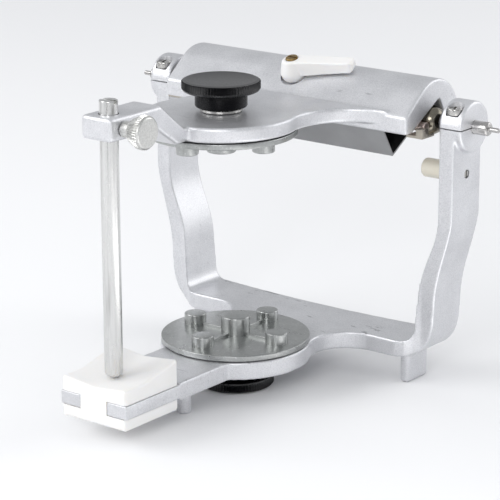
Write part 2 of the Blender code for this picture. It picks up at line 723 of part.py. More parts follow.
def lever_handle():
    """Handle whose underside follows the housing's slope, turned a little to the back."""
    stations = ((1.5, 2.9, 0.5, 5.0), (11.5, 2.5, 1.3, 4.9), (22.2, 1.9, 1.9, 4.7))
    bm = bmesh.new()
    rings = []
    for reach, half, low, top in stations:
        corners = [(-half, low), (half, low + 1.1 * half / 2.9), (half, top - 0.8)]
        corners += [(half - 0.8, top), (-half + 0.8, top), (-half, top - 0.8)]
        rings.append([bm.verts.new((reach, across, z)) for across, z in corners])
    for first, second in zip(rings, rings[1:]):
        join_rings(bm, first, second, 6)
    bm.faces.new(rings[0])
    bm.faces.new(rings[-1])
    handle = make_object("handle", bm)
    handle.data.transform(Matrix.Rotation(LEVER_TURN, 4, "Z"))
    return handle


def lever_fittings():
    """Brass screw on top, and the shaft with its cam inside the housing."""
    centre = (0, 0, 0)
    seat = LEVER_TOP - 0.6
    screw = [(0, 0.4), (1.2, 0.4), (1.2, seat), (2.1, seat), (2.1, seat + 0.8), (1.6, seat + 1.2)]
    head_top = lathe("lever_screw", screw + [(0, seat + 1.2)], centre, "Z", 24)
    slot = box("slot", (-3.0, -0.3, seat + 0.7), (3.0, 0.3, seat + 2.0))
    lean(combine(head_top, [slot], "DIFFERENCE"))
    shaft = rod("lock_shaft", 1.5, centre, -7.7, 0.1)
    cam = rod("cam", 2.4, (0, 1.0, 0), -7.5, -5.6)
    lean(combine(shaft, [cam], "UNION", MANIFOLD))


# ---------------------------------------------------------------- assembly

# Colour, metalness and roughness of each material
FINISHES = {
    "silver_paint": ((0.60, 0.60, 0.62), 0.55, 0.42),
    "plate_metal": ((0.52, 0.53, 0.51), 0.85, 0.38),
    "polished_steel": ((0.70, 0.70, 0.70), 1.0, 0.18),
    "nickel": ((0.66, 0.65, 0.62), 1.0, 0.22),
    "zinc_plating": ((0.55, 0.52, 0.46), 0.8, 0.40),
    "brass": ((0.72, 0.52, 0.22), 1.0, 0.28),
    "black_plastic": ((0.018, 0.018, 0.020), 0.0, 0.40),
    "white_plastic": ((0.82, 0.82, 0.79), 0.0, 0.35),
    "ivory_plastic": ((0.76, 0.72, 0.60), 0.0, 0.45),
    "dark_metal": ((0.12, 0.12, 0.13), 0.7, 0.45),
    "dark_paint": ((0.10, 0.10, 0.11), 0.0, 0.60),
}

# The moving groups: joint position (X, Y, Z), and each one's pieces with their material
GROUPS = {
    "lower": (
        (0, 0, 0),
        {
            "lower_frame": "silver_paint",
            "incisal_table": "white_plastic",
            "lower_mounting_plate": "plate_metal",
            "lower_washer": "nickel",
            "condyle_shaft": "polished_steel",
            "clamp_screw": "nickel",
            "opening_stop": "ivory_plastic",
            "stop_screw": "nickel",
            "spacer_ring": "dark_metal",
        },
    ),
    "lower_knob_body": (
        (0, LOWER_AXIS_Y, 0),
        {"lower_knob": "black_plastic", "lower_stud": "polished_steel"},
    ),
    "carriage": (
        (0, 0, HINGE_Z),
        {
            "condyle_ball": "polished_steel",
            "carriage_plate": "zinc_plating",
            "centring_rod": "polished_steel",
            "return_spring": "dark_metal",
        },
    ),
    "upper": (
        (0, 0, HINGE_Z),
        {
            "upper_frame": "silver_paint",
            "under_cover": "dark_paint",
            "cover_screw": "nickel",
            "spring_anchor_rod": "polished_steel",
            "upper_mounting_plate": "plate_metal",
            "upper_washer": "nickel",
        },
    ),
    "upper_knob_body": (
        (0, UPPER_AXIS_Y, PAD_TOP),
        {"upper_knob": "black_plastic", "upper_stud": "polished_steel"},
    ),
    "incisal_pin_body": ((0, PIN_Y, THUMBSCREW_Z), {"incisal_pin": "polished_steel"}),
    "thumbscrew": ((0, PIN_Y, THUMBSCREW_Z), {"pin_thumbscrew": "nickel"}),
    "lever": (
        LEVER,
        {
            "lock_lever": "white_plastic",
            "lever_screw": "brass",
            "lock_shaft": "polished_steel",
        },
    ),
}


def make_pieces():
    lower_frame()
    incisal_table()
    mounting_plate("lower_mounting_plate", LOWER_AXIS_Y, BASE_TOP + GAP, 1)
    mounting_plate("upper_mounting_plate", UPPER_AXIS_Y, PAD_LOW - GAP, -1)
    plate_fasteners()
    for side, hand in ((-1, "left"), (1, "right")):
        condyle_shaft(f"condyle_shaft_{hand}", side)
        clamp_screw(f"clamp_screw_{hand}", side)
        stop(f"opening_stop_{hand}", f"stop_screw_{hand}", side)
        spacer_ring(f"spacer_ring_{hand}", side)
        cover_screw(f"cover_screw_{hand}", side)
    carriage()
    upper_frame()
    under_cover()
    spring_anchor_rod()
    incisal_pin()
    pin_thumbscrew()
    lock_lever()
    lever_fittings()


def finish_material(name):
    colour, metallic, roughness = FINISHES[name]
    material = bpy.data.materials.new(name)
    material.use_nodes = True
    shader = material.node_tree.nodes["Principled BSDF"]
    shader.inputs["Base Color"].default_value = (*colour, 1.0)
    shader.inputs["Metallic"].default_value = metallic
    shader.inputs["Roughness"].default_value = roughness
    return material


def smooth(obj):
    """Shade round faces smooth and keep the sharp edges."""
    obj.data.shade_smooth()
    obj.data.set_sharp_from_angle(angle=math.radians(30.0))


def arrange():
    """Hang each group's pieces from an empty on its joint, and centre the footprint."""
    shift = Vector((0, -(TABLE_FRONT + SCREW_BACK) / 2, 0))
    materials = {name: finish_material(name) for name in FINISHES}
    for group, (position, pieces) in GROUPS.items():
        empty = bpy.data.objects.new(group + "_pivot", None)
        empty.location = (Vector(position) + shift) * MM
        bpy.context.scene.collection.objects.link(empty)
        for piece, finish in pieces.items():
            for name in (piece, piece + "_left", piece + "_right"):
                obj = bpy.data.objects.get(name)
                if obj is None:
                    continue
                obj.data.transform(Matrix.Translation(-Vector(position) * MM))
                obj.data.materials.clear()
                obj.data.materials.append(materials[finish])
                smooth(obj)
                obj.parent = empty


clear_scene()
make_pieces()
arrange()
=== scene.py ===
"""Looks of a dental articulator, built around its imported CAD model.

Shapes are drawn in millimetres, with X to the right, Y to the back from the hinge axis and Z up
from the ground, as in the CAD. finish_mesh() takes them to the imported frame, in metres.
"""

import json
from math import acos, asin, atan2, cos, degrees, pi, radians, sin, sqrt, tan

import bmesh
import bpy
from mathutils import Matrix, Vector


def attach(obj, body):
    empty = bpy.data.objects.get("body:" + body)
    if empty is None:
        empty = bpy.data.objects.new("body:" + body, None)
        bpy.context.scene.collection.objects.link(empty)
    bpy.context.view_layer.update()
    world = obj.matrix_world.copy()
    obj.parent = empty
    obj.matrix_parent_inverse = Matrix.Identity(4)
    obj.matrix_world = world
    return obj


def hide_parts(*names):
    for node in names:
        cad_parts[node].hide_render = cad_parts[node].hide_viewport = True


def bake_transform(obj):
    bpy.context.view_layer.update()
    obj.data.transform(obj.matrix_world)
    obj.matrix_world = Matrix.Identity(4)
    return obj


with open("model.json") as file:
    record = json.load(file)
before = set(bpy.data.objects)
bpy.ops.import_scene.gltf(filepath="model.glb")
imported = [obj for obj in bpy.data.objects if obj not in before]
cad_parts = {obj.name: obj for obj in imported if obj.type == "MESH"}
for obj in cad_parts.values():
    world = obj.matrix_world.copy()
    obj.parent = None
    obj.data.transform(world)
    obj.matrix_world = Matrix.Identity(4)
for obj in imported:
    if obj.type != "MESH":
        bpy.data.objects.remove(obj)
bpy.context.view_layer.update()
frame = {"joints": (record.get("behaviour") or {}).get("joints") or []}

MM = 0.001
HINGE = next(j for j in frame["joints"] if j["name"] == "opening")["pos_m"]
SHIFT = Vector((0, HINGE[1], 0))

# Sizes that the CAD is drawn to, in millimetres
HINGE_Z = 90.0
TABLE_FRONT, TABLE_BACK = -114.6, -88.9
PIN_Y, PIN_R = -104.6, 2.95
LOWER_AXIS_Y, UPPER_AXIS_Y = -42.85, -49.72
PLATE_R, PLATE_THICK = 25.0, 1.9
CENTRE_BOSS_R, CENTRE_BOSS_TOP = 4.85, 8.2
OUTER_BOSS_R, OUTER_BOSS_TOP, BOSS_REACH = 3.7, 5.7, 17.4
RIB_REACH, RIB_HALF, RIB_TOP = 17.0, 0.6, 2.9
BASE_LOW, BASE_TOP = 9.6, 15.5
LOWER_PAD_R, UPPER_PAD_R = 25.2, 25.3
TONGUE_HALF = 13.7
REAR_FOOT_X, REAR_FOOT_Y, FOOT_ROOT = (43.2, 47.0), (-8.5, 3.4), 2.0
FRONT_FOOT_R, FRONT_FOOT_X, FRONT_FOOT_Y = 2.55, 4.6, -75.8
PRONG_INNER, PRONG_LOW, PRONG_TOP = 5.6, 10.4, 14.8
POST_DEPTH, POST_INNER, POST_OUTER = 8.26, 57.3, 63.0
HEAD_R, HEAD_OUTER = 8.53, 65.8
CLAMP_X, CLAMP_Y, CLAMP_SEAT_Z = 61.5, -5.5, 94.2
CLAMP_SHANK_R, CLAMP_HEAD_R = 1.3, 2.7
STOP_Z, STOP_R, STOP_INNER = 73.8, 3.2, 46.8
STOP_SHANK_R, STOP_HEAD_R, STOP_SINK_X = 0.8, 1.2, 61.8
PAD_LOW, PAD_TOP = 90.3, 95.3
HOUSING_HALF, HOUSING_CAVITY = 50.5, 42.0
HOUSING_R, HOUSING_AXIS_Z, HOUSING_WALL = 13.7, 90.2, 2.8
LIP_FRONT, LIP_LOW, REAR_LOW, ROOF_START = -17.5, 88.1, 94.3, 129.0
ARM_HALF, ARM_FRONT, ARM_LOW, ARM_TOP = 6.1, -110.7, 96.9, 104.5
THUMBSCREW_Z = 100.5
PATH_SLOPE = radians(30.0)
BALL_R, BALL_X, BALL_BORE_R, GUIDE_CLEARANCE = 4.9, 48.5, 2.05, 0.25
SHAFT_R, FACEBOW_PIN_R, JOURNAL_R, SHOULDER_X, HALF_WIDTH = 2.3, 0.8, 1.75, 54.2, 75.0
ROD_R, ROD_HALF, ROD_Y, ROD_Z = 1.6, 51.7, -7.1, 89.2
SPRING_LENGTH, SPRING_X = 14.0, 32.0
LEVER, LEVER_TILT, LEVER_TURN = (-1.1, -8.7, 100.7), radians(17.0), radians(13.3)
LEVER_SEAT, LEVER_TOP = -2.3, 5.6
COVER_SCREW_X, COVER_SCREW_Z, COVER_SHANK_R, COVER_HEAD_R = 26.0, 95.3, 0.8, 1.9
ANCHOR_R = 0.9
WASHER_BORE_R, WASHER_R, STUD_R, STUD_HOLE_R = 2.9, 7.0, 2.5, 3.2
GAP = 0.3
UPPER_WASHER, UPPER_KNOB_SEAT, UPPER_STUD = (PAD_TOP + GAP, 96.6), 96.9, (84.6, 101.2)
LOWER_WASHER, LOWER_KNOB_SEAT, LOWER_STUD = (8.4, BASE_LOW - GAP), 8.1, (3.8, 21.2)

# Fineness of the melted castings, and the angle that stays a sharp edge on them
CAST_VOXEL, FINE_VOXEL, CAST_ANGLE = 0.4, 0.2, 40.0

# The camera: place in millimetres, angles in degrees
CAMERA_PLACE = (462.89, -572.89, 264.21)
CAMERA_AZIMUTH, CAMERA_ELEVATION, CAMERA_ROLL = 38.17, 16.33, -0.19
LENS = 167.4

SIDES = ((-1, "left"), (1, "right"))
SQUARE = ((-1, -1), (1, -1), (1, 1), (-1, 1))


# ---- mesh tools


def new_object(name, data):
    obj = bpy.data.objects.new(name, data)
    bpy.context.scene.collection.objects.link(obj)
    return obj


def finish_mesh(name, bm):
    """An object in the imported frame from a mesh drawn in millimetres."""
    bmesh.ops.recalc_face_normals(bm, faces=bm.faces)
    mesh = bpy.data.meshes.new(name)
    bm.to_mesh(mesh)
    bm.free()
    mesh.transform(Matrix.Translation(SHIFT) @ Matrix.Scale(MM, 4))
    return new_object(name, mesh)


def prism(name, outline, axis, low, high):
    """Extrude a closed outline along an axis; it is (Y, Z), (X, Z) or (X, Y)."""
    place = {
        "X": lambda u, v, w: (w, u, v),
        "Y": lambda u, v, w: (u, w, v),
        "Z": lambda u, v, w: (u, v, w),
    }[axis]
    bm = bmesh.new()
    near = [bm.verts.new(place(u, v, low)) for u, v in outline]
    far = [bm.verts.new(place(u, v, high)) for u, v in outline]
    bm.faces.new(near)
    bm.faces.new(far)
    for i in range(len(outline)):
        j = (i + 1) % len(outline)
        bm.faces.new((near[i], near[j], far[j], far[i]))
    return finish_mesh(name, bm)


def box(name, low, high):
    """A block between two opposite corners."""
    outline = [(low[0], low[1]), (high[0], low[1]), (high[0], high[1]), (low[0], high[1])]
    return prism(name, outline, "Z", low[2], high[2])


def join_rings(bm, first, second):
    """Faces between two rings of as many points, either of which may be a single point."""
    count = max(len(first), len(second))
    for i in range(count):
        j = (i + 1) % count
        if len(first) == 1:
            bm.faces.new((first[0], second[i], second[j]))
        elif len(second) == 1:
            bm.faces.new((first[i], first[j], second[0]))
        else:
            bm.faces.new((first[i], first[j], second[j], second[i]))


def loft(name, sections):
    """A solid through a row of closed sections, which have as many points each."""
    bm = bmesh.new()
    rings = [[bm.verts.new(spot) for spot in section] for section in sections]
    for first, second in zip(rings, rings[1:]):
        join_rings(bm, first, second)
    bm.faces.new(rings[0])
    bm.faces.new(rings[-1])
    return finish_mesh(name, bm)


def sheet(name, corners):
    """A single flat face."""
    bm = bmesh.new()
    bm.faces.new([bm.verts.new(corner) for corner in corners])
    return finish_mesh(name, bm)


def lathe(name, profile, centre, axis="Z", segments=64, knurl=None):
    """Turn (radius, distance) points about an axis.

    knurl is (teeth, depth, low, high): grooves cut between those distances along the axis.
    """
    place = {
        "X": lambda a, b, h: (h, a, b),
        "Y": lambda a, b, h: (b, h, a),
        "Z": lambda a, b, h: (a, b, h),
    }[axis]
    bm = bmesh.new()
    rings = []
    for radius, height in profile:
        ring = []
        for i in range(segments if radius > 0 else 1):
            turn = 2 * pi * i / segments
            r = radius
            if knurl and min(knurl[2:]) <= height <= max(knurl[2:]):
                r -= knurl[1] * abs(sin(turn * knurl[0] / 2)) ** 0.7
            spot = place(r * cos(turn), r * sin(turn), height)
            ring.append(bm.verts.new(Vector(centre) + Vector(spot)))
        rings.append(ring)
    closed = len(rings[0]) == 1 or len(rings[-1]) == 1
    for i in range(len(rings) - 1 if closed else len(rings)):
        join_rings(bm, rings[i], rings[(i + 1) % len(rings)])
    return finish_mesh(name, bm)


def rounded(profile, radius):
    """Round the corners of a turned profile, apart from its ends and its points on the axis."""
    steps, shortest, nearly_straight = 4, 0.02, radians(165)
    out = [profile[0]]
    for before, corner, after in zip(profile, profile[1:], profile[2:]):
        c = Vector(corner)
        to_before, to_after = Vector(before) - c, Vector(after) - c
        reach = min(radius, to_before.length * 0.45, to_after.length * 0.45)
        if corner[0] <= 0 or reach < shortest or to_before.angle(to_after) > nearly_straight:
            out.append(corner)
            continue
        a = c + to_before.normalized() * reach
        b = c + to_after.normalized() * reach
        for i in range(steps + 1):
            t = i / steps
            out.append(tuple(a * (1 - t) ** 2 + c * 2 * t * (1 - t) + b * t**2))
    return out + [profile[-1]]


def rod(name, radius, centre, low, high, axis="Z", segments=48, edge=0.0):
    """A plain round bar from low to high along its axis."""
    profile = [(0, low), (radius, low), (radius, high), (0, high)]
    return lathe(name, rounded(profile, edge) if edge else profile, centre, axis, segments)


def bolt_outline(tip, shank_r, seat, head_r, top):
    """Outline of a screw: the shank from tip to seat, and the head from seat to top."""
    return [(0, tip), (shank_r, tip), (shank_r, seat), (head_r, seat), (head_r, top), (0, top)]


def side_lathe(name, side, profile, edge, z, segments=48):
    """Turn (radius, distance from the middle) points about a level line on one side."""
    profile = [(r, side * x) for r, x in rounded(profile, edge)]
    return lathe(name, profile, (0, 0, z), "X", segments)


def span(side, near, far):
    """The rising X values of two distances from the middle, on one side."""
    return sorted((side * near, side * far))


def ring(name, centre, inner, outer, low, high, axis="Z"):
    """A washer with slightly chamfered edges."""
    e = 0.15
    profile = [(inner + e, low), (outer - e, low), (outer, low + e), (outer, high - e)]
    profile += [(outer - e, high), (inner + e, high), (inner, high - e), (inner, low + e)]
    return lathe(name, profile, centre, axis)


def settle(obj):
    """Replace an object's mesh by the one that its modifiers make."""
    depsgraph = bpy.context.evaluated_depsgraph_get()
    mesh = bpy.data.meshes.new_from_object(obj.evaluated_get(depsgraph))
    obj.modifiers.clear()
    obj.data = mesh
    return obj


def combine(target, others, operation):
    """Join, cut or intersect an object with others, which are used up."""
    for other in others:
        modifier = target.modifiers.new(operation.lower(), "BOOLEAN")
        modifier.operation = operation
        modifier.solver = "MANIFOLD"
        modifier.object = other
    settle(target)
    for other in others:
        bpy.data.objects.remove(other, do_unlink=True)
    return target


def bevel(obj, width, segments=3, angle=40.0):
    """Round the edges that are sharper than an angle."""
    modifier = obj.modifiers.new("bevel", "BEVEL")
    modifier.width = width * MM
    modifier.segments = segments
    modifier.limit_method = "ANGLE"
    modifier.angle_limit = radians(angle)
    return settle(obj)


def cast(obj, voxel, passes):
    """Melt a sharp solid into a casting with soft, filleted edges."""
    remesh = obj.modifiers.new("remesh", "REMESH")
    remesh.mode = "VOXEL"
    remesh.voxel_size = voxel * MM
    smooth = obj.modifiers.new("smooth", "SMOOTH")
    smooth.factor = 0.5
    smooth.iterations = passes
    return settle(obj)


def moved(obj, turn, place):
    """Turn a piece about the drawing's origin and carry it to a place."""
    centre = Matrix.Translation(SHIFT)
    move = Matrix.Translation(Vector(place) * MM) @ turn
    obj.data.transform(centre @ move @ centre.inverted())
    return obj


def lean(obj):
    """Move a piece drawn about the Z axis to the lock lever's leaning axis."""
    return moved(obj, Matrix.Rotation(LEVER_TILT, 4, "X"), LEVER)


def arc(centre, radius, start, end, count):
    """Points on a circle from one angle to another, in degrees."""
    points = []
    for i in range(count + 1):
        turn = radians(start + (end - start) * i / count)
        points.append((centre[0] + radius * cos(turn), centre[1] + radius * sin(turn)))
    return points


def curves(start, *pieces):
    """Points on cubic Bezier curves end to end, each as (control, control, end, points)."""
    points = []
    for first, second, end, count in pieces:
        for i in range(count):
            t = i / count
            weights = ((1 - t) ** 3, 3 * (1 - t) ** 2 * t, 3 * (1 - t) * t**2, t**3)
            x = sum(w * p[0] for w, p in zip(weights, (start, first, second, end)))
            y = sum(w * p[1] for w, p in zip(weights, (start, first, second, end)))
            points.append((x, y))
        start = end
    return points + [start]


def mirrored(half):
    """A right half, followed by its mirror image on the left."""
    return half + [(-x, y) for x, y in reversed(half) if x > 0]


def neck(pad_centre_y, pad_r, start_x, line_y, fillet_r, count):
    """Right side of a round pad that flares into a cross-bar, from front to back."""
    cy = line_y - fillet_r
    cx = sqrt((pad_r + fillet_r) ** 2 - (cy - pad_centre_y) ** 2)
    start = -degrees(acos(start_x / pad_r))
    touch = degrees(atan2(cy - pad_centre_y, cx))
    pad = arc((0, pad_centre_y), pad_r, start, touch, 3 * count)
    return pad + arc((cx, cy), fillet_r, touch + 180, 90, count)[1:]


def along_rod(distance):
    """A (Y, Z) point on the spring's centre line, measured from the centring rod."""
    run, rise = cos(PATH_SLOPE), sin(PATH_SLOPE)
    return ROD_Y + distance * run, ROD_Z + distance * rise


# ---- materials


def map_range(tree, low, high, start, end):
    """A node that maps a value between low and high to a number between start and end."""
    node = tree.nodes.new("ShaderNodeMapRange")
    for socket, number in zip(node.inputs[1:], (low, high, start, end)):
        socket.default_value = number
    return node


class Nodes:
    """A short way to write a node material."""

    def __init__(self, name):
        self.material = bpy.data.materials.new(name)
        self.material.use_nodes = True
        self.tree = self.material.node_tree
        self.shader = self.tree.nodes["Principled BSDF"]
        self.where = self.tree.nodes.new("ShaderNodeTexCoord").outputs["Object"]

    def add(self, kind, **inputs):
        """A node with its inputs given by name, _ for a space."""
        node = self.tree.nodes.new("ShaderNode" + kind)
        for key, value in inputs.items():
            self.put(node.inputs[key.replace("_", " ")], value)
        return node

    def put(self, socket, value):
        """Link a socket to another one, or give it a plain value."""
        if isinstance(value, bpy.types.NodeSocket):
            self.tree.links.new(value, socket)
        else:
            socket.default_value = value

    def set(self, name, value):
        self.put(self.shader.inputs[name], value)

    def stretched(self, scale):
        """Object coordinates scaled along each axis."""
        return self.add("Mapping", Vector=self.where, Scale=scale).outputs[0]

    def noise(self, scale, detail=3.0, where=None, roughness=0.55):
        """Noise with so many waves to the metre."""
        node = self.add("TexNoise", Vector=where or self.where, Scale=scale, Detail=detail)
        node.inputs["Roughness"].default_value = roughness
        return node.outputs[0]

    def ramp(self, value, low=0.3, high=0.7, start=0.0, end=1.0):
        node = map_range(self.tree, low, high, start, end)
        self.put(node.inputs[0], value)
        return node.outputs[0]

    def blend(self, share, first, second):
        """Mix two colours or colour sockets."""
        node = self.tree.nodes.new("ShaderNodeMix")
        node.data_type = "RGBA"
        self.put(node.inputs[0], share)
        for socket, value in ((node.inputs[6], first), (node.inputs[7], second)):
            self.put(socket, value if isinstance(value, bpy.types.NodeSocket) else (*value, 1.0))
        return node.outputs[2]

    def product(self, first, second):
        node = self.tree.nodes.new("ShaderNodeMath")
        node.operation = "MULTIPLY"
        self.put(node.inputs[0], first)
        self.put(node.inputs[1], second)
        return node.outputs[0]

    def bump(self, height, depth_mm, strength=1.0):
        """Add relief to the shader, on top of any that is there."""
        node = self.add("Bump", Height=height, Distance=depth_mm * MM, Strength=strength)
        before = self.shader.inputs["Normal"].links
        if before:
            self.tree.links.new(before[0].from_socket, node.inputs["Normal"])
        self.put(self.shader.inputs["Normal"], node.outputs[0])


def silver_paint():
    """Satin silver paint on a cast surface: metal flake, orange peel and faint scuffs."""
    m = Nodes("silver_paint")
    broad = m.noise(90.0, 4.0)
    flake = m.noise(2600.0, 2.0, roughness=0.7)
    tint = m.blend(m.ramp(broad, 0.35, 0.65), (0.64, 0.645, 0.667), (0.72, 0.725, 0.747))
    tint = m.blend(m.ramp(flake, 0.50, 0.72, 0.0, 0.40), tint, (0.90, 0.90, 0.92))
    tint = m.blend(m.ramp(flake, 0.46, 0.30, 0.0, 0.30), tint, (0.36, 0.36, 0.39))
    scratch = m.noise(260.0, 3.0, m.stretched((0.25, 1.6, 1.0)), 0.6)
    worn = m.noise(38.0, 2.0)
    scuff = m.product(m.ramp(scratch, 0.66, 0.72), m.ramp(worn, 0.52, 0.62))
    tint = m.blend(m.product(scuff, 0.45), tint, (0.24, 0.24, 0.26))
    # Darker rubs, only within 0.5 mm of the height of the cross-bar's top
    height = m.add("SeparateXYZ", Vector=m.where).outputs[2]
    on_bar = m.product(m.ramp(height, 0.0150, 0.0154), m.ramp(height, 0.0160, 0.0156))
    rubs = m.noise(150.0, 5.0, m.stretched((0.5, 1.4, 1.0)), 0.75)
    rubs = m.product(m.ramp(rubs, 0.60, 0.64), m.ramp(worn, 0.47, 0.55))
    tint = m.blend(m.product(m.product(rubs, on_bar), 0.6), tint, (0.2, 0.2, 0.22))
    m.set("Base Color", tint)
    m.set("Metallic", 0.80)
    m.set("Roughness", m.ramp(broad, 0.3, 0.7, 0.38, 0.45))
    m.set("Coat Weight", 0.12)
    m.set("Coat Roughness", 0.22)
    m.bump(flake, 0.012, 0.5)
    m.bump(m.noise(520.0, 2.0), 0.05, 0.35)
    return m.material


def plate_metal():
    """Die-cast zinc plate: dull, slightly green, with mottling and fine pits."""
    m = Nodes("plate_metal")
    mottle = m.noise(170.0, 5.0, roughness=0.65)
    fine = m.noise(1500.0, 3.0)
    tint = m.blend(m.ramp(mottle, 0.35, 0.68), (0.34, 0.35, 0.345), (0.44, 0.45, 0.445))
    tint = m.blend(m.ramp(fine, 0.58, 0.70, 0.0, 0.35), tint, (0.82, 0.83, 0.82))
    tint = m.blend(m.ramp(fine, 0.38, 0.28, 0.0, 0.4), tint, (0.30, 0.32, 0.31))
    m.set("Base Color", tint)
    m.set("Metallic", 0.95)
    m.set("Roughness", m.ramp(mottle, 0.3, 0.7, 0.26, 0.34))
    m.bump(fine, 0.02, 0.5)
    m.bump(mottle, 0.05, 0.3)
    return m.material


def turned_metal(name, colour, roughness, along, contrast):
    """Bright metal with fine lines drawn along one axis."""
    m = Nodes(name)
    squeeze = tuple(0.03 if axis == along else 1.0 for axis in "XYZ")
    lines = m.noise(1800.0, 3.0, m.stretched(squeeze), 0.7)
    broad = m.noise(240.0, 3.0, m.stretched(tuple(max(s, 0.15) for s in squeeze)))
    dark = tuple(c * (1 - contrast) for c in colour)
    tint = m.blend(m.ramp(lines), dark, colour)
    tint = m.blend(m.ramp(broad, 0.62, 0.74, 0.0, 0.5), tint, tuple(c * 0.5 for c in colour))
    m.set("Base Color", tint)
    m.set("Metallic", 1.0)
    m.set("Roughness", m.ramp(broad, 0.3, 0.7, roughness, roughness + 0.10))
    m.bump(lines, 0.01, 0.5)
    return m.material


def moulded(name, colour, roughness, texture_mm, subsurface, shade, specular):
    """Plastic with a faint moulded grain and slow colour drift."""
    m = Nodes(name)
    broad = m.noise(60.0, 3.0)
    fine = m.noise(2200.0, 3.0)
    dark = tuple(c * (1 - shade) for c in colour)
    m.set("Base Color", m.blend(m.ramp(broad), dark, colour))
    m.set("Roughness", m.ramp(fine, 0.3, 0.7, roughness, roughness + 0.12))
    if subsurface:
        m.set("Subsurface Weight", subsurface)
        m.set("Subsurface Scale", 0.0015)
        m.set("Subsurface Radius", (1.0, 0.9, 0.75))
    m.set("Specular IOR Level", specular)
    m.bump(fine, texture_mm, 0.5)
    return m.material


def dark_paint():
    """Dark grey powder paint on folded sheet."""
    m = Nodes("dark_paint")
    fine = m.noise(1600.0, 3.0)
    broad = m.noise(70.0, 2.0)
    tint = m.blend(m.ramp(broad), (0.28, 0.282, 0.288), (0.33, 0.332, 0.34))
    m.set("Base Color", tint)
    m.set("Roughness", m.ramp(fine, 0.3, 0.7, 0.42, 0.55))
    m.set("Metallic", 0.25)
    m.bump(fine, 0.02, 0.5)
    return m.material


def black_finish():
    """Near-black finish, for the inward faces of the cover and the studio's dark cards."""
    m = Nodes("black_finish")
    fine = m.noise(1200.0, 3.0)
    tint = m.blend(m.ramp(fine), (0.008, 0.008, 0.009), (0.016, 0.016, 0.018))
    m.set("Base Color", tint)
    m.set("Roughness", m.ramp(fine, 0.3, 0.7, 0.5, 0.7))
    m.bump(fine, 0.02, 0.5)
    return m.material


# Colour, roughness, axis of the lines and contrast
TURNED = {
    "polished_steel": ((0.56, 0.55, 0.54), 0.16, "X", 0.25),
    "pin_steel": ((0.74, 0.74, 0.73), 0.22, "Z", 0.15),
    "nickel": ((0.56, 0.55, 0.53), 0.18, "Z", 0.25),
    "wheel_nickel": ((0.74, 0.74, 0.72), 0.30, "X", 0.3),
    # ball: steel darkened and browned, a painted reflection of the dark parts round it
    "ball_steel_painted_reflection": ((0.24, 0.22, 0.18), 0.14, "X", 0.3),
    "zinc_plating": ((0.50, 0.46, 0.40), 0.30, "X", 0.3),
    "copper_end": ((0.66, 0.55, 0.50), 0.30, "Y", 0.2),
    "brass": ((0.40, 0.28, 0.12), 0.30, "Z", 0.45),
    "dark_metal": ((0.17, 0.17, 0.18), 0.34, "X", 0.3),
    "spring_steel": ((0.38, 0.37, 0.36), 0.3, "X", 0.3),
}
# Colour, roughness, depth of the grain in millimetres, subsurface weight, shade and specular
MOULDED = {
    "black_plastic": ((0.002, 0.002, 0.003), 0.20, 0.004, 0.0, 0.12, 0.14),
    "black_knurl": ((0.002, 0.002, 0.003), 0.10, 0.002, 0.0, 0.12, 0.6),
    # painted sheen: a lighter black for the knobs' flat faces, in place of their reflection of the
    # bright room
    "black_painted_sheen": ((0.040, 0.040, 0.042), 0.40, 0.012, 0.0, 0.12, 1.0),
    "white_plastic": ((0.83, 0.822, 0.812), 0.34, 0.006, 0.35, 0.03, 0.5),
    "ivory_plastic": ((0.76, 0.72, 0.62), 0.38, 0.006, 0.35, 0.08, 0.5),
}
FINISHES = {make.__name__: make() for make in (silver_paint, plate_metal, dark_paint, black_finish)}
FINISHES.update({name: turned_metal(name, *values) for name, values in TURNED.items()})
FINISHES.update({name: moulded(name, *values) for name, values in MOULDED.items()})


def dress(obj, body, finish, nodes, angle=30.0):
    """Give a piece its finish, its body and the CAD nodes that it stands for."""
    obj.data.materials.clear()
    obj.data.materials.append(FINISHES[finish])
    obj.data.shade_smooth()
    obj.data.set_sharp_from_angle(angle=radians(angle))
    if body:
        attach(obj, body)
    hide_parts(*nodes)
    return obj


# ---- lower frame


def frame_front_view():
    """Front view of the cross-bar and the two curved posts."""
    right = curves(
        (45.0, BASE_TOP),
        ((47.8, BASE_TOP), (48.9, 16.8), (49.3, 20.0), 10),
        ((49.6, 25.0), (50.0, 28.0), (50.3, 32.0), 5),
        ((50.9, 43.0), (57.3, 49.0), (POST_INNER, 59.0), 24),
    )
    right += [(POST_INNER, HINGE_Z), (POST_OUTER, HINGE_Z)]
    right += curves(
        (POST_OUTER, 61.0),
        ((POST_OUTER, 53.0), (57.0, 41.0), (56.6, 30.0), 24),
        ((56.5, 27.0), (56.4, 25.0), (56.2, 22.5), 4),
        ((55.4, 15.0), (51.5, BASE_LOW), (42.0, BASE_LOW), 20),
    )
    return right + [(-x, z) for x, z in reversed(right)]


def frame_plan():
    """Plan of the lower frame: tongue, round pad, cross-bar and posts."""
    bar_front, fillet_r, beyond_posts = -11.5, 12.7, 70.0
    bar_back, bow, bow_reach = 6.2, 2.4, 44
    half = [(TONGUE_HALF, TABLE_BACK + GAP)]
    half += neck(LOWER_AXIS_Y, LOWER_PAD_R, TONGUE_HALF, bar_front, fillet_r, 20)
    half += [(43.0, -11.6), (46.5, -10.9), (49.0, -9.2), (51.5, -POST_DEPTH)]
    half += [(beyond_posts, -POST_DEPTH), (beyond_posts, POST_DEPTH), (52.0, POST_DEPTH)]
    half += [(x, bar_back + bow * (x / bow_reach) ** 2) for x in range(bow_reach, 0, -4)]
    return mirrored(half)


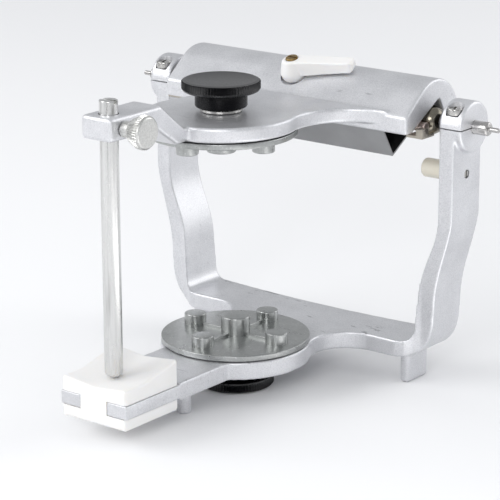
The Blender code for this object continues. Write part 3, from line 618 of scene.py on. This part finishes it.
def head_and_feet(side):
    """Head, rear foot and front foot of one side, to be melted into the casting."""
    inner = POST_INNER - 0.2
    profile = [(0, inner), (HEAD_R, inner), (HEAD_R, HEAD_OUTER), (0, HEAD_OUTER)]
    head = side_lathe("head", side, profile, 1.0, HINGE_Z, 96)
    x = span(side, *REAR_FOOT_X)
    rear = box("foot", (x[0], REAR_FOOT_Y[0], 0.0), (x[1], REAR_FOOT_Y[1], BASE_TOP - FOOT_ROOT))
    centre = (side * FRONT_FOOT_X, FRONT_FOOT_Y, 0)
    front = rod("front_foot", FRONT_FOOT_R, centre, 0.0, BASE_LOW + FOOT_ROOT, edge=0.6)
    return [head, bevel(rear, 1.2, 4), front]


def prong(side):
    """One of the two prongs that carry the incisal table."""
    x = span(side, PRONG_INNER, TONGUE_HALF)
    root = TABLE_BACK + 4.0
    return bevel(box("prong", (x[0], TABLE_FRONT, PRONG_LOW), (x[1], root, PRONG_TOP)), 0.35)


def head_cutters(side):
    """Shaft bore, slit, clamp screw hole and stop screw hole of one side."""
    through, slit, slit_back = span(side, 55.0, 68.0), 0.2, -1.5
    centre = (side * CLAMP_X, CLAMP_Y, 0)
    low, high = (through[0], -12.0, HINGE_Z - slit), (through[1], slit_back, HINGE_Z + slit)
    return [
        rod("bore", SHAFT_R + 0.06, (0, 0, HINGE_Z), *through, "X"),
        box("slit", low, high),
        rod("shank", CLAMP_SHANK_R + GAP, centre, 84.0, 97.0),
        rod("counterbore", CLAMP_HEAD_R + GAP, centre, CLAMP_SEAT_Z, 103.0),
        rod("hole", STOP_SHANK_R + GAP, (0, 0, STOP_Z), *through, "X"),
        rod("sink", STOP_HEAD_R + GAP, (0, 0, STOP_Z), *span(side, STOP_SINK_X, 65.0), "X"),
    ]


def casting_of_lower_frame():
    """Cross-bar, pad, tongue, posts, heads and feet as one casting."""
    body = prism("lower_casting", frame_front_view(), "Y", -125.0, 20.0)
    combine(body, [prism("plan", frame_plan(), "Z", 0.0, 120.0)], "INTERSECT")
    bevel(body, 1.3, 4)
    combine(body, [piece for side, _ in SIDES for piece in head_and_feet(side)], "UNION")
    cast(body, CAST_VOXEL, 5)
    combine(body, [prong(side) for side, _ in SIDES], "UNION")
    cutters = [rod("stud_hole", STUD_HOLE_R, (0, LOWER_AXIS_Y, 0), 5.0, 20.0)]
    for side, _ in SIDES:
        cutters += head_cutters(side)
    combine(body, cutters, "DIFFERENCE")
    dress(body, "lower", "silver_paint", ["lower_frame"], CAST_ANGLE)


def table():
    """White incisal table with a valley, two wings and a rear ramp."""
    half, low, valley, ramp_start = 13.3, 6.3, 18.5, -105.5
    wing_slope, ramp_slope, clearance = 6.0, 13.0, 0.15
    wing = half * tan(radians(wing_slope))
    ramp = (TABLE_BACK - ramp_start) * tan(radians(ramp_slope))
    bm = bmesh.new()
    base = [bm.verts.new((x, y, low)) for y in (TABLE_FRONT, TABLE_BACK) for x in (-half, half)]
    rows = []
    for y, lift in ((TABLE_FRONT, 0.0), (ramp_start, 0.0), (TABLE_BACK, ramp)):
        heights = ((-half, wing), (0.0, 0.0), (half, wing))
        rows.append([bm.verts.new((x, y, valley + lift + dz)) for x, dz in heights])
    front, back = rows[0], rows[2]
    left, right = [row[0] for row in rows], [row[2] for row in rows]
    bm.faces.new((base[0], base[1], base[3], base[2]))
    bm.faces.new((base[0], base[1], *reversed(front)))
    bm.faces.new((base[2], base[3], *reversed(back)))
    bm.faces.new((base[0], base[2], *reversed(left)))
    bm.faces.new((base[1], base[3], *reversed(right)))
    for near, far in zip(rows, rows[1:]):
        for i in (0, 1):
            bm.faces.new((near[i], near[i + 1], far[i + 1], far[i]))
    block = bevel(finish_mesh("incisal_block", bm), 1.1, 5, 60.0)
    slots = []
    for side, _ in SIDES:
        x = span(side, PRONG_INNER - clearance, 20.0)
        corner = (x[0], -120.0, PRONG_LOW - clearance)
        slots.append(box("slot", corner, (x[1], -80.0, PRONG_TOP + clearance)))
    combine(block, slots, "DIFFERENCE")
    dress(block, "lower", "white_plastic", ["incisal_table"], 40.0)


# ---- plates and knobs


def mounting_plate(name, node, body, axis_y, back_z, facing):
    """Disc with a centre boss, four outer bosses and thin ribs."""
    sunk, bore_r = 1.0, 2.8

    def turned(label, radius, low, high, spot, edge, segments):
        points = rounded([(0, low), (radius, low), (radius, high), (0, high)], edge)
        points = [(r, back_z + facing * h) for r, h in points]
        return lathe(label, points, (spot[0], axis_y + spot[1], 0), "Z", segments)

    plate = turned(name, PLATE_R, 0, PLATE_THICK, (0, 0), 0.35, 128)
    pieces = [turned("centre_boss", CENTRE_BOSS_R, sunk, CENTRE_BOSS_TOP, (0, 0), 0.5, 48)]
    for spot in ((BOSS_REACH, 0), (-BOSS_REACH, 0), (0, BOSS_REACH), (0, -BOSS_REACH)):
        pieces.append(turned("boss", OUTER_BOSS_R, sunk, OUTER_BOSS_TOP, spot, 0.45, 40))
    z = sorted((back_z + facing * sunk, back_z + facing * RIB_TOP))
    for x, y in ((RIB_REACH, RIB_HALF), (RIB_HALF, RIB_REACH)):
        rib = box("rib", (-x, axis_y - y, z[0]), (x, axis_y + y, z[1]))
        pieces.append(bevel(rib, 0.3))
    combine(plate, pieces, "UNION")
    bore = sorted((back_z - facing * sunk, back_z + facing * OUTER_BOSS_TOP))
    combine(plate, [rod("bore", bore_r, (0, axis_y, 0), *bore)], "DIFFERENCE")
    dress(plate, body, "plate_metal", [node])


def knob(name, body, axis_y, seat_z, facing, hub_height, band_height):
    """Black disc knob on a hub, with a fine straight knurl round its rim and a painted sheen on its
    flat face.
    """
    hub_r, band_r, bore_r, bore_depth, foot_r = 8.6, 12.9, 2.8, 4.6, 7.9
    teeth, tooth_depth, dish, chamfer = 84, 0.55, 0.3, 0.9
    low, full = hub_height, hub_height + band_height
    knurl_low, knurl_high = low + 1.0, full - 0.55
    # Bore and foot, hub, underside of the band, knurled band, chamfer and dished face
    profile = [(0, bore_depth), (bore_r, bore_depth), (bore_r, 0), (foot_r, 0), (8.3, 0.15)]
    profile += [(hub_r, 0.6), (hub_r, low - 0.3), (hub_r + 0.3, low), (band_r - 1.0, low + 0.1)]
    profile += [(band_r - 0.35, low + 0.45), (band_r - 0.25, knurl_low - 0.05)]
    profile += [(band_r, knurl_low), (band_r, knurl_high), (band_r - 0.3, full - 0.3)]
    profile += [(band_r - chamfer, full), (band_r - 1.5, full), (band_r - 1.9, full - 0.25)]
    profile = [(r, seat_z + facing * h) for r, h in profile + [(0, full - dish)]]
    ends = (seat_z + facing * (knurl_low - 0.01), seat_z + facing * (knurl_high + 0.01))
    obj = lathe(name, profile, (0, axis_y, 0), "Z", teeth * 4, (teeth, tooth_depth, *ends))
    dress(obj, body, "black_plastic", [body], 35.0)
    obj.data.materials.append(FINISHES["black_painted_sheen"])
    obj.data.materials.append(FINISHES["black_knurl"])
    middle = Vector((0, axis_y, 0)) * MM + SHIFT
    for face in obj.data.polygons:
        reach = (face.center - middle).to_2d().length
        # The flat face gets the lighter black, a painted sheen
        if facing * face.normal.z > 0.8:
            face.material_index = 1
        elif reach > (band_r - 0.6) * MM:
            face.material_index = 2


def plates_and_knobs():
    """Both mounting plates, with the knobs, studs and washers that clamp them."""
    mounting_plate("lower_plate", "lower_mounting_plate", "lower", LOWER_AXIS_Y, BASE_TOP + GAP, 1)
    mounting_plate("upper_plate", "upper_mounting_plate", "upper", UPPER_AXIS_Y, PAD_LOW - GAP, -1)
    knob("upper_clamp_knob", "upper_knob", UPPER_AXIS_Y, UPPER_KNOB_SEAT, 1, 5.1, 3.93)
    knob("lower_clamp_knob", "lower_knob", LOWER_AXIS_Y, LOWER_KNOB_SEAT, -1, 4.0, 3.8)
    upper, lower = ("upper", (0, UPPER_AXIS_Y, 0)), ("lower", (0, LOWER_AXIS_Y, 0))
    for (body, centre), ends in ((upper, UPPER_WASHER), (lower, LOWER_WASHER)):
        washer = ring(body + "_plain_washer", centre, WASHER_BORE_R, WASHER_R, *ends)
        dress(washer, body, "nickel", [body + "_washer"])
    for (which, centre), ends in ((upper, UPPER_STUD), (lower, LOWER_STUD)):
        stud = rod(which + "_knob_stud", STUD_R, centre, *ends, edge=0.4)
        dress(stud, which + "_knob", "pin_steel", [which + "_stud"])


# ---- heads and stops


def facebow_shaft(side, hand):
    """Shaft in a head, with a journal towards the ball and a face-bow pin outside."""
    start, end, chamfer = 44.6, 71.4, 0.5
    profile = [(0, start), (JOURNAL_R, start), (JOURNAL_R, SHOULDER_X), (SHAFT_R, SHOULDER_X)]
    profile += [(SHAFT_R, end - chamfer), (SHAFT_R - chamfer, end), (FACEBOW_PIN_R, end)]
    profile += [(FACEBOW_PIN_R, HALF_WIDTH), (0, HALF_WIDTH)]
    shaft = side_lathe("facebow_shaft_" + hand, side, profile, 0.25, HINGE_Z)
    dress(shaft, "lower", "polished_steel", ["condyle_shaft_" + hand])


def clamp_screw(side, hand):
    """Cross-slotted screw that closes the slit of a head."""
    tip, head_height, slot_low, slot_high = 84.4, 2.3, 1.2, 3.0
    half_length, half_width = 1.8, 0.4
    x, y, seat = side * CLAMP_X, CLAMP_Y, CLAMP_SEAT_Z + GAP
    profile = bolt_outline(tip, CLAMP_SHANK_R, seat, CLAMP_HEAD_R, seat + head_height)
    screw = lathe("clamp_bolt_" + hand, rounded(profile, 0.45), (x, y, 0), "Z", 48)
    slots = []
    for angle in (25.0, 115.0):
        low = (-half_length, -half_width, seat + slot_low)
        slot = box("slot", low, (half_length, half_width, seat + slot_high))
        slots.append(moved(slot, Matrix.Rotation(radians(angle), 4, "Z"), (x, y, 0)))
    combine(screw, slots, "DIFFERENCE")
    dress(screw, "lower", "nickel", ["clamp_screw_" + hand])


def nylon_stop(side, hand):
    """Nylon stop inside a post, and the slotted screw that holds it from outside."""
    hole_r, hole_end, outer = STOP_SHANK_R + GAP, 51.0, POST_INNER - GAP
    profile = [(0, STOP_INNER), (STOP_R, STOP_INNER), (STOP_R, outer), (hole_r, outer)]
    profile += [(hole_r, hole_end), (0, hole_end)]
    stop = side_lathe("nylon_stop_" + hand, side, profile, 0.8, STOP_Z)
    dress(stop, "lower", "ivory_plastic", ["opening_stop_" + hand])
    seat, end, slot_floor = STOP_SINK_X + GAP, 62.8, 62.2
    profile = bolt_outline(52.0, STOP_SHANK_R, seat, STOP_HEAD_R, end)
    screw = side_lathe("stop_bolt_" + hand, side, profile, 0.15, STOP_Z, 32)
    x = span(side, slot_floor, 64.0)
    slot = box("slot", (x[0], -0.3, STOP_Z - 2.0), (x[1], 0.3, STOP_Z + 2.0))
    combine(screw, [slot], "DIFFERENCE")
    dress(screw, "lower", "nickel", ["stop_screw_" + hand])


def head_parts(side, hand):
    """Everything that is fixed in one head and its post."""
    facebow_shaft(side, hand)
    clamp_screw(side, hand)
    nylon_stop(side, hand)
    ends, bore_r, outer_r = span(side, 54.8, 56.8), SHAFT_R + GAP, 5.0
    spacer = ring("shaft_spacer_" + hand, (0, 0, HINGE_Z), bore_r, outer_r, *ends, "X")
    dress(spacer, "lower", "dark_metal", ["spacer_ring_" + hand])


# ---- carriage


def tube(name, points, radius, sides):
    """A round wire along a list of points."""
    sections = []
    normal = Vector((1, 0, 0))
    turns = [2 * pi * k / sides for k in range(sides)]
    for i, point in enumerate(points):
        forward = points[min(i + 1, len(points) - 1)] - points[max(i - 1, 0)]
        forward.normalize()
        normal = (normal - forward * normal.dot(forward)).normalized()
        other = forward.cross(normal)
        sections.append([point + (normal * cos(t) + other * sin(t)) * radius for t in turns])
    return loft(name, sections)


def hook(middle, radius, start, step, count):
    """Points (along, lift, across) of a wire bent round a rod, with angles in degrees."""
    turns = [radians(start - step * i) for i in range(count)]
    return [(middle + radius * cos(t), radius * sin(t), 0.0) for t in turns]


def return_spring(side, hand):
    """Coil with a hook round the centring rod and one round the anchor rod."""
    coil_r, wire_r, turns, steps = 2.0, 0.26, 11, 20
    coil_start, coil_end = 3.6, SPRING_LENGTH - 2.6
    path = hook(0.0, 2.55, 330, 12.5, 25)
    for i in range(steps * turns + 1):
        turn = pi / 2 + 2 * pi * i / steps
        along = coil_start + (coil_end - coil_start) * i / (steps * turns)
        path.append((along, coil_r * sin(turn), coil_r * cos(turn)))
    path += hook(SPRING_LENGTH, 1.55, 150, 17.0, 21)
    points = []
    for along, lift, across in path:
        y, z = along_rod(along)
        y -= lift * sin(PATH_SLOPE)
        z += lift * cos(PATH_SLOPE)
        points.append(Vector((side * SPRING_X + across, y, z)))
    obj = tube("coil_spring_" + hand, points, wire_r, 10)
    dress(obj, None, "spring_steel", ["return_spring_" + hand], 60.0)
    # Points on the centre line near both ends of the spring; they are not used
    for distance in (2.0, SPRING_LENGTH - 1.5):
        y, z = along_rod(distance)
    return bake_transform(obj)


def steel_ball(side, hand):
    """Bored condyle ball, its steel darkened and browned as a painted reflection of the dark parts
    round it.
    """
    steps = 24
    bore_end = sqrt(BALL_R**2 - BALL_BORE_R**2)
    spots = [-bore_end + 2 * bore_end * i / steps for i in range(steps + 1)]
    profile = [(sqrt(BALL_R**2 - x**2), side * (BALL_X + x)) for x in spots]
    ball = lathe("steel_ball_" + hand, profile, (0, 0, HINGE_Z), "X", 64)
    dress(ball, "carriage", "ball_steel_painted_reflection", ["condyle_ball_" + hand])


def slide_plate(side, hand):
    """Plate under a ball, with a tab turned up at its outer edge in front."""
    inner, outer, tab_inner = 47.4, 53.7, 51.1
    low, top, tab_top = 86.4, 87.3, 89.5
    front, tab_back, back = -12.6, -9.1, -5.6
    outline = [(inner, low), (outer, low), (outer, tab_top), (tab_inner, tab_top)]
    outline = [(side * x, z) for x, z in outline + [(tab_inner, top), (inner, top)]]
    plate = prism("slide_plate_" + hand, outline, "Y", front, tab_back)
    x = span(side, inner, outer)
    rear = box("rear", (x[0], tab_back - 0.2, low), (x[1], back, top - 0.1))
    combine(plate, [rear], "UNION")
    bevel(plate, 0.2, 2)
    dress(plate, "carriage", "zinc_plating", ["carriage_plate_" + hand])


def carriage():
    """Balls, slide plates, return springs and the rod that joins both sides."""
    for side, hand in SIDES:
        steel_ball(side, hand)
        slide_plate(side, hand)
        return_spring(side, hand)
    obj = rod("carriage_rod", ROD_R, (0, ROD_Y, ROD_Z), -ROD_HALF, ROD_HALF, "X", edge=0.35)
    dress(obj, "carriage", "copper_end", ["centring_rod"])


# ---- upper frame


def roof(radius, steps, forward):
    """Points on the half-round roof, from front to rear or the other way."""
    rear = degrees(asin((REAR_LOW - HOUSING_AXIS_Z) / radius))
    ends = (ROOF_START, rear) if forward else (rear, ROOF_START)
    return arc((0, HOUSING_AXIS_Z), radius, *ends, steps)


def housing_outside():
    """Section of the outside, from the foot of the front lip over the roof to the rear."""
    lip = [(LIP_FRONT, LIP_LOW), (LIP_FRONT, 93.6), (-16.9, 94.25)]
    return lip + roof(HOUSING_R, 40, True)


def housing_cavity():
    """Section of the hollow, left open below and at the rear."""
    under_slope, below, behind = radians(39.0), 80.0, 20.0
    inside = roof(HOUSING_R - HOUSING_WALL, 30, False)
    front_y, front_z = inside[-1]
    lip_back = LIP_FRONT + HOUSING_WALL
    drop = (front_y - lip_back) * tan(under_slope)
    lip = [(lip_back, front_z - drop), (lip_back, below)]
    return inside + lip + [(behind, below), (behind, REAR_LOW)]


def housing_end():
    """End section, filled down to the condyle guide and its rear seat."""
    reach, seat_run, start_y = BALL_R + GUIDE_CLEARANCE, 3.4, -13.5
    slope_y, slope_z = cos(PATH_SLOPE), sin(PATH_SLOPE)
    corner = (reach * (slope_y - slope_z), HINGE_Z + reach * (slope_y + slope_z))
    seat = (corner[0] + seat_run, corner[1] - seat_run / tan(PATH_SLOPE))
    start = (start_y, corner[1] - (corner[0] - start_y) * tan(PATH_SLOPE))
    return housing_outside() + [seat, corner, start, (start_y - 0.6, LIP_LOW)]


def arm_outline():
    """Side view of the arm: the block round the pin and the slope down into the pad."""
    block_back, slope_end, root, sunk = -86.8, -75.2, -66.0, 0.6
    outline = [(ARM_FRONT, ARM_LOW), (ARM_FRONT, ARM_TOP), (block_back, ARM_TOP)]
    outline += [(slope_end, PAD_TOP - 0.05), (root, PAD_TOP - sunk), (root, PAD_LOW + sunk)]
    return outline + [(-79.0, PAD_LOW + 0.05), (-88.5, ARM_LOW)]


def upper_cutters():
    """Holes of the stud, pin, thumbscrew, lever, spring anchor and cover screws."""
    y, z = along_rod(SPRING_LENGTH)
    cutters = [
        rod("stud_hole", STUD_HOLE_R, (0, UPPER_AXIS_Y, 0), 80.0, 110.0),
        rod("pin_hole", PIN_R + GAP, (0, PIN_Y, 0), 90.0, 110.0),
        rod("thumbscrew_hole", 1.8, (0, PIN_Y, THUMBSCREW_Z), 0.0, 9.0, "X"),
        lean(rod("lever_seat", 5.0, (0, 0, 0), LEVER_SEAT, 15.0)),
        lean(rod("lever_bore", 1.8, (0, 0, 0), -8.0, 15.0)),
        rod("anchor_bores", ANCHOR_R + GAP, (0, y, z), -46.0, 46.0, "X"),
    ]
    for side, _ in SIDES:
        spot = (side * COVER_SCREW_X, 0, COVER_SCREW_Z)
        cutters.append(rod("screw_hole", COVER_SHANK_R + GAP, spot, 7.0, 20.0, "Y"))
        cutters.append(rod("screw_sink", COVER_HEAD_R + GAP, spot, 11.6, 20.0, "Y"))
    return cutters


def casting_of_upper_frame():
    """Half-round housing, pad and arm as one casting."""
    housing = prism("upper_casting", housing_end(), "X", -HOUSING_HALF, HOUSING_HALF)
    cut = prism("cavity", housing_cavity(), "X", -HOUSING_CAVITY, HOUSING_CAVITY)
    boss = lean(rod("boss", 5.6, (0, 0, 0), LEVER_SEAT - 3.0, 10.0))
    combine(cut, [boss], "DIFFERENCE")
    bevel(housing, 1.2, 4, 60.0)
    combine(housing, [cut], "DIFFERENCE")
    half = neck(UPPER_AXIS_Y, UPPER_PAD_R, 9.0, -17.4, 19.0, 20) + [(44.0, -15.8)]
    pad = prism("pad", mirrored([(0.0, -74.9)] + half), "Z", PAD_LOW, PAD_TOP)
    bevel(pad, 1.1, 4)
    arm = bevel(prism("arm", arm_outline(), "X", -ARM_HALF, ARM_HALF), 1.2, 4)
    combine(housing, [pad, arm], "UNION")
    cast(housing, CAST_VOXEL, 4)
    combine(housing, upper_cutters(), "DIFFERENCE")
    dress(housing, "upper", "silver_paint", ["upper_frame"], CAST_ANGLE)


def folded_cover():
    """Folded sheet under the housing, near-black on its inward faces."""
    sheet, back, half, hole_r = 0.5, 8.7, 39.0, 0.95
    outer = [(-14.3, 92.2), (-14.3, 88.4), (-7.9, 77.8), (back, 88.0), (back, 96.4)]
    inner = [(back - sheet, 96.4), (back - sheet, 88.3), (-7.75, 78.6), (-13.8, 88.6)]
    cover = prism("folded_cover", outer + inner + [(-13.8, 92.2)], "X", -half, half)
    holes = []
    for side, _ in SIDES:
        spot = (side * COVER_SCREW_X, 0, COVER_SCREW_Z)
        holes.append(rod("hole", hole_r, spot, 5.0, 12.0, "Y", 24))
    combine(cover, holes, "DIFFERENCE")
    dress(cover, "upper", "dark_paint", ["under_cover"], 25.0)
    cover.data.materials.append(FINISHES["black_finish"])
    middle = Vector((0, -2.0, 88.0)) * MM + SHIFT
    for face in cover.data.polygons:
        inward = face.normal.dot(middle - face.center) > 0
        if inward and abs(face.normal.x) < 0.5:
            face.material_index = 1


def cover_and_fixings():
    """The cover, its screws, and the rod that anchors the springs."""
    folded_cover()
    half_slot, slot_floor = 0.3, 12.55
    profile = bolt_outline(6.6, COVER_SHANK_R, 11.9, COVER_HEAD_R, 13.0)
    for side, hand in SIDES:
        x, z = side * COVER_SCREW_X, COVER_SCREW_Z
        obj = lathe("cover_bolt_" + hand, rounded(profile, 0.3), (x, 0, z), "Y", 40)
        low, high = (x - 2.5, slot_floor, z - half_slot), (x + 2.5, 14.0, z + half_slot)
        combine(obj, [box("slot", low, high)], "DIFFERENCE")
        dress(obj, "upper", "nickel", ["cover_screw_" + hand])
    y, z = along_rod(SPRING_LENGTH)
    obj = rod("anchor_rod", ANCHOR_R, (0, y, z), -45.7, 45.7, "X", edge=0.2)
    dress(obj, "upper", "polished_steel", ["spring_anchor_rod"])


# ---- pin, thumbscrew and lever


def incisal_pin():
    """Pin with a rounded tip and a slotted top."""
    top, slot_floor, half_slot = 108.85, 107.7, 0.7
    profile = [(0, 19.1), (1.3, 19.35), (2.3, 19.9), (2.8, 20.6), (PIN_R, 21.3), (PIN_R, top)]
    pin = lathe("pin", rounded(profile + [(0, top)], 0.4), (0, PIN_Y, 0), "Z", 64)
    slot = box("slot", (-4.0, PIN_Y - half_slot, slot_floor), (4.0, PIN_Y + half_slot, 110.0))
    combine(pin, [slot], "DIFFERENCE")
    dress(pin, "incisal_pin", "pin_steel", ["incisal_pin"])


def thumbscrew():
    """Screw that grips the pin: shank, collar, flaring wheel with a knurl, and a shallow face."""
    teeth, tooth_depth = 40, 0.45
    shank_r, collar_r, collar_end = 1.5, 2.6, 9.8
    profile = [(0, 3.3), (shank_r, 3.3), (shank_r, 6.4), (2.4, 6.4), (collar_r, 6.6)]
    profile += [(collar_r, collar_end), (3.6, 10.0), (3.9, 10.3), (5.3, 13.3), (5.4, 13.6)]
    profile += [(5.4, 14.9), (5.15, 15.3), (4.8, 15.7), (4.5, 15.9), (2.0, 15.75), (0, 15.6)]
    knurl = (teeth, tooth_depth, 10.2, 15.0)
    centre = (0, PIN_Y, THUMBSCREW_Z)
    screw = lathe("thumb_wheel", profile, centre, "X", teeth * 4, knurl)
    dress(screw, "thumbscrew", "wheel_nickel", ["pin_thumbscrew"], 14.0)


def lever_handle():
    """Tapering handle whose underside rises towards its tip."""
    # Reach, half width, underside and top of each section
    stations = ((0.0, 3.2, 0.0, 5.5), (11.5, 2.8, 1.0, 5.4), (21.6, 2.4, 1.6, 5.2))
    stations += ((22.4, 1.7, 2.2, 4.6),)
    side_lift = 1.1 / 2.9
    c, s = cos(LEVER_TURN), sin(LEVER_TURN)
    sections = []
    for reach, half, low, top in stations:
        corners = [(-half, low), (half, low + side_lift * half), (half, top), (-half, top)]
        sections.append([(reach * c - u * s, reach * s + u * c, z) for u, z in corners])
    return loft("handle", sections)


def lever():
    """White lever, its brass screw and its shaft with a cam, drawn upright and then leaned."""
    low, centre = LEVER_SEAT + GAP, (0, 0, 0)
    cone = [(0, low), (3.6, low), (4.3, low + 1.2), (4.7, low + 2.8), (4.3, low + 4.4)]
    cone += [(3.4, LEVER_TOP), (0, LEVER_TOP)]
    grip = lathe("lever_grip", rounded(cone, 0.8), centre, "Z", 64)
    combine(grip, [lever_handle()], "UNION")
    cast(grip, FINE_VOXEL, 12)
    holes = [rod("bore", 1.8, centre, -5.0, 9.0), rod("sink", 2.2, centre, LEVER_TOP - 0.9, 9.0)]
    lean(combine(grip, holes, "DIFFERENCE"))
    dress(grip, "lever", "white_plastic", ["lock_lever"], CAST_ANGLE)
    seat, head_height, slot_floor, half_slot = LEVER_TOP - 0.6, 1.2, 0.7, 0.3
    profile = bolt_outline(0.4, 1.2, seat, 2.1, seat + head_height)
    head = lathe("brass_screw", rounded(profile, 0.4), centre, "Z", 48)
    slot = box("slot", (-3.0, -half_slot, seat + slot_floor), (3.0, half_slot, seat + 2.0))
    lean(combine(head, [slot], "DIFFERENCE"))
    dress(head, "lever", "brass", ["lever_screw"])
    shaft = rod("cam_shaft", 1.5, centre, -7.7, 0.1)
    cam = rod("cam", 2.4, (0, 1.0, 0), -7.5, -5.6)
    lean(combine(shaft, [cam], "UNION"))
    dress(shaft, "lever", "polished_steel", ["lock_shaft"])


# ---- studio


def look_along(azimuth, elevation, roll):
    """Rotation of a camera that looks along an azimuth, down by an elevation."""
    az, el = radians(azimuth), radians(elevation)
    forward = Vector((-sin(az) * cos(el), cos(az) * cos(el), -sin(el)))
    right = forward.cross(Vector((0, 0, 1))).normalized()
    up = right.cross(forward)
    c, s = cos(radians(roll)), sin(radians(roll))
    axes = (c * right + s * up, c * up - s * right, -forward)
    return Matrix(axes).transposed().to_quaternion()


def add_camera():
    camera = bpy.data.cameras.new("camera")
    camera.lens = LENS
    camera.sensor_width = 36.0
    camera.clip_start = 0.01
    obj = new_object("camera", camera)
    obj.location = Vector(CAMERA_PLACE) * MM
    obj.rotation_mode = "QUATERNION"
    obj.rotation_quaternion = look_along(CAMERA_AZIMUTH, CAMERA_ELEVATION, CAMERA_ROLL)
    bpy.context.scene.camera = obj


def add_floor():
    """Wide sheet of pale matt paper."""
    half = 4.0 / MM
    floor = sheet("floor", [(half * a, half * b, 0.0) for a, b in SQUARE])
    m = Nodes("floor_paper")
    m.set("Base Color", m.blend(m.noise(3.0, 2.0), (0.86, 0.862, 0.872), (0.885, 0.887, 0.895)))
    m.set("Roughness", 0.8)
    m.set("Specular IOR Level", 0.0)
    floor.data.materials.append(m.material)


def world_light():
    """Grey room that is brighter overhead, so that metal shows both light and dark."""
    world = bpy.data.worlds.new("studio")
    world.use_nodes = True
    tree = world.node_tree
    where = tree.nodes.new("ShaderNodeTexCoord").outputs["Generated"]
    split = tree.nodes.new("ShaderNodeSeparateXYZ")
    tree.links.new(where, split.inputs[0])
    ramp = map_range(tree, 0.0, 0.9, 0.54, 0.61)
    tree.links.new(split.outputs[2], ramp.inputs[0])
    background = tree.nodes["Background"]
    background.inputs[0].default_value = (0.96, 0.975, 1.0, 1.0)
    tree.links.new(ramp.outputs[0], background.inputs[1])
    bpy.context.scene.world = world


def area_light(name, place_mm, target_mm, size, power):
    """Rectangular lamp aimed at a point; its size is in metres and its power in watts."""
    light = bpy.data.lights.new(name, "AREA")
    light.shape = "RECTANGLE"
    light.size, light.size_y = size
    light.energy = power
    obj = new_object(name, light)
    place, target = Vector(place_mm) * MM, Vector(target_mm) * MM
    obj.location = place
    obj.rotation_mode = "QUATERNION"
    obj.rotation_quaternion = (target - place).to_track_quat("-Z", "Y")
    return obj


def reflected_only(card, material):
    """Make a stage piece that nothing but reflections shows."""
    card.visible_camera = False
    card.visible_shadow = False
    card.visible_diffuse = False
    card.data.materials.append(material)


def dark_card(name, place_mm, size_mm):
    """Upright black card, facing the object and ending just above the floor."""
    x, y, _ = place_mm
    above_floor = 2.0
    across = Vector((y, -x, 0)).normalized() * (size_mm[0] / 2)
    rise = Vector((0, 0, size_mm[1] / 2))
    spots = [Vector(place_mm) + across * a + rise * b for a, b in SQUARE]
    card = sheet(name, [(spot.x, spot.y, max(spot.z, above_floor)) for spot in spots])
    reflected_only(card, FINISHES["black_finish"])


def bright_card(name, place_mm, size_mm):
    """Glowing card flat on the floor, which only the edges facing the camera reflect."""
    centre = Vector(place_mm)
    az = radians(CAMERA_AZIMUTH)
    along = Vector((sin(az), -cos(az), 0)) * (size_mm[0] / 2)
    across = Vector((cos(az), sin(az), 0)) * (size_mm[1] / 2)
    card = sheet(name, [centre + along * a + across * b for a, b in SQUARE])
    m = Nodes(name)
    m.set("Base Color", (0.0, 0.0, 0.0, 1.0))
    m.set("Emission Color", (1.0, 1.0, 1.0, 1.0))
    m.set("Emission Strength", 2.0)
    reflected_only(card, m.material)


def studio():
    """Camera, floor, room light, lamps, and the cards that the metal reflects."""
    add_camera()
    add_floor()
    world_light()
    bpy.context.scene.view_settings.view_transform = "Standard"
    middle = (0, 0, 50)
    ceiling = area_light("ceiling", (0, 600, 1700), (0, 100, 0), (3.0, 3.0), 7.0)
    ceiling.visible_glossy = False
    area_light("key", (-720, -740, 670), middle, (1.1, 0.7), 8.0)
    area_light("back_side", (640, 910, 500), middle, (1.1, 0.8), 4.0)
    area_light("front", (330, -640, 380), middle, (0.35, 0.25), 1.8)
    dark_card("left_card", (-420, -330, 120), (100, 500))
    dark_card("right_card", (150, -520, 120), (60, 500))
    bright_card("edge_card", (195, -125, 2.5), (300, 100))


casting_of_lower_frame()
table()
plates_and_knobs()
for side, hand in SIDES:
    head_parts(side, hand)
carriage()
casting_of_upper_frame()
cover_and_fixings()
incisal_pin()
thumbscrew()
lever()
studio()
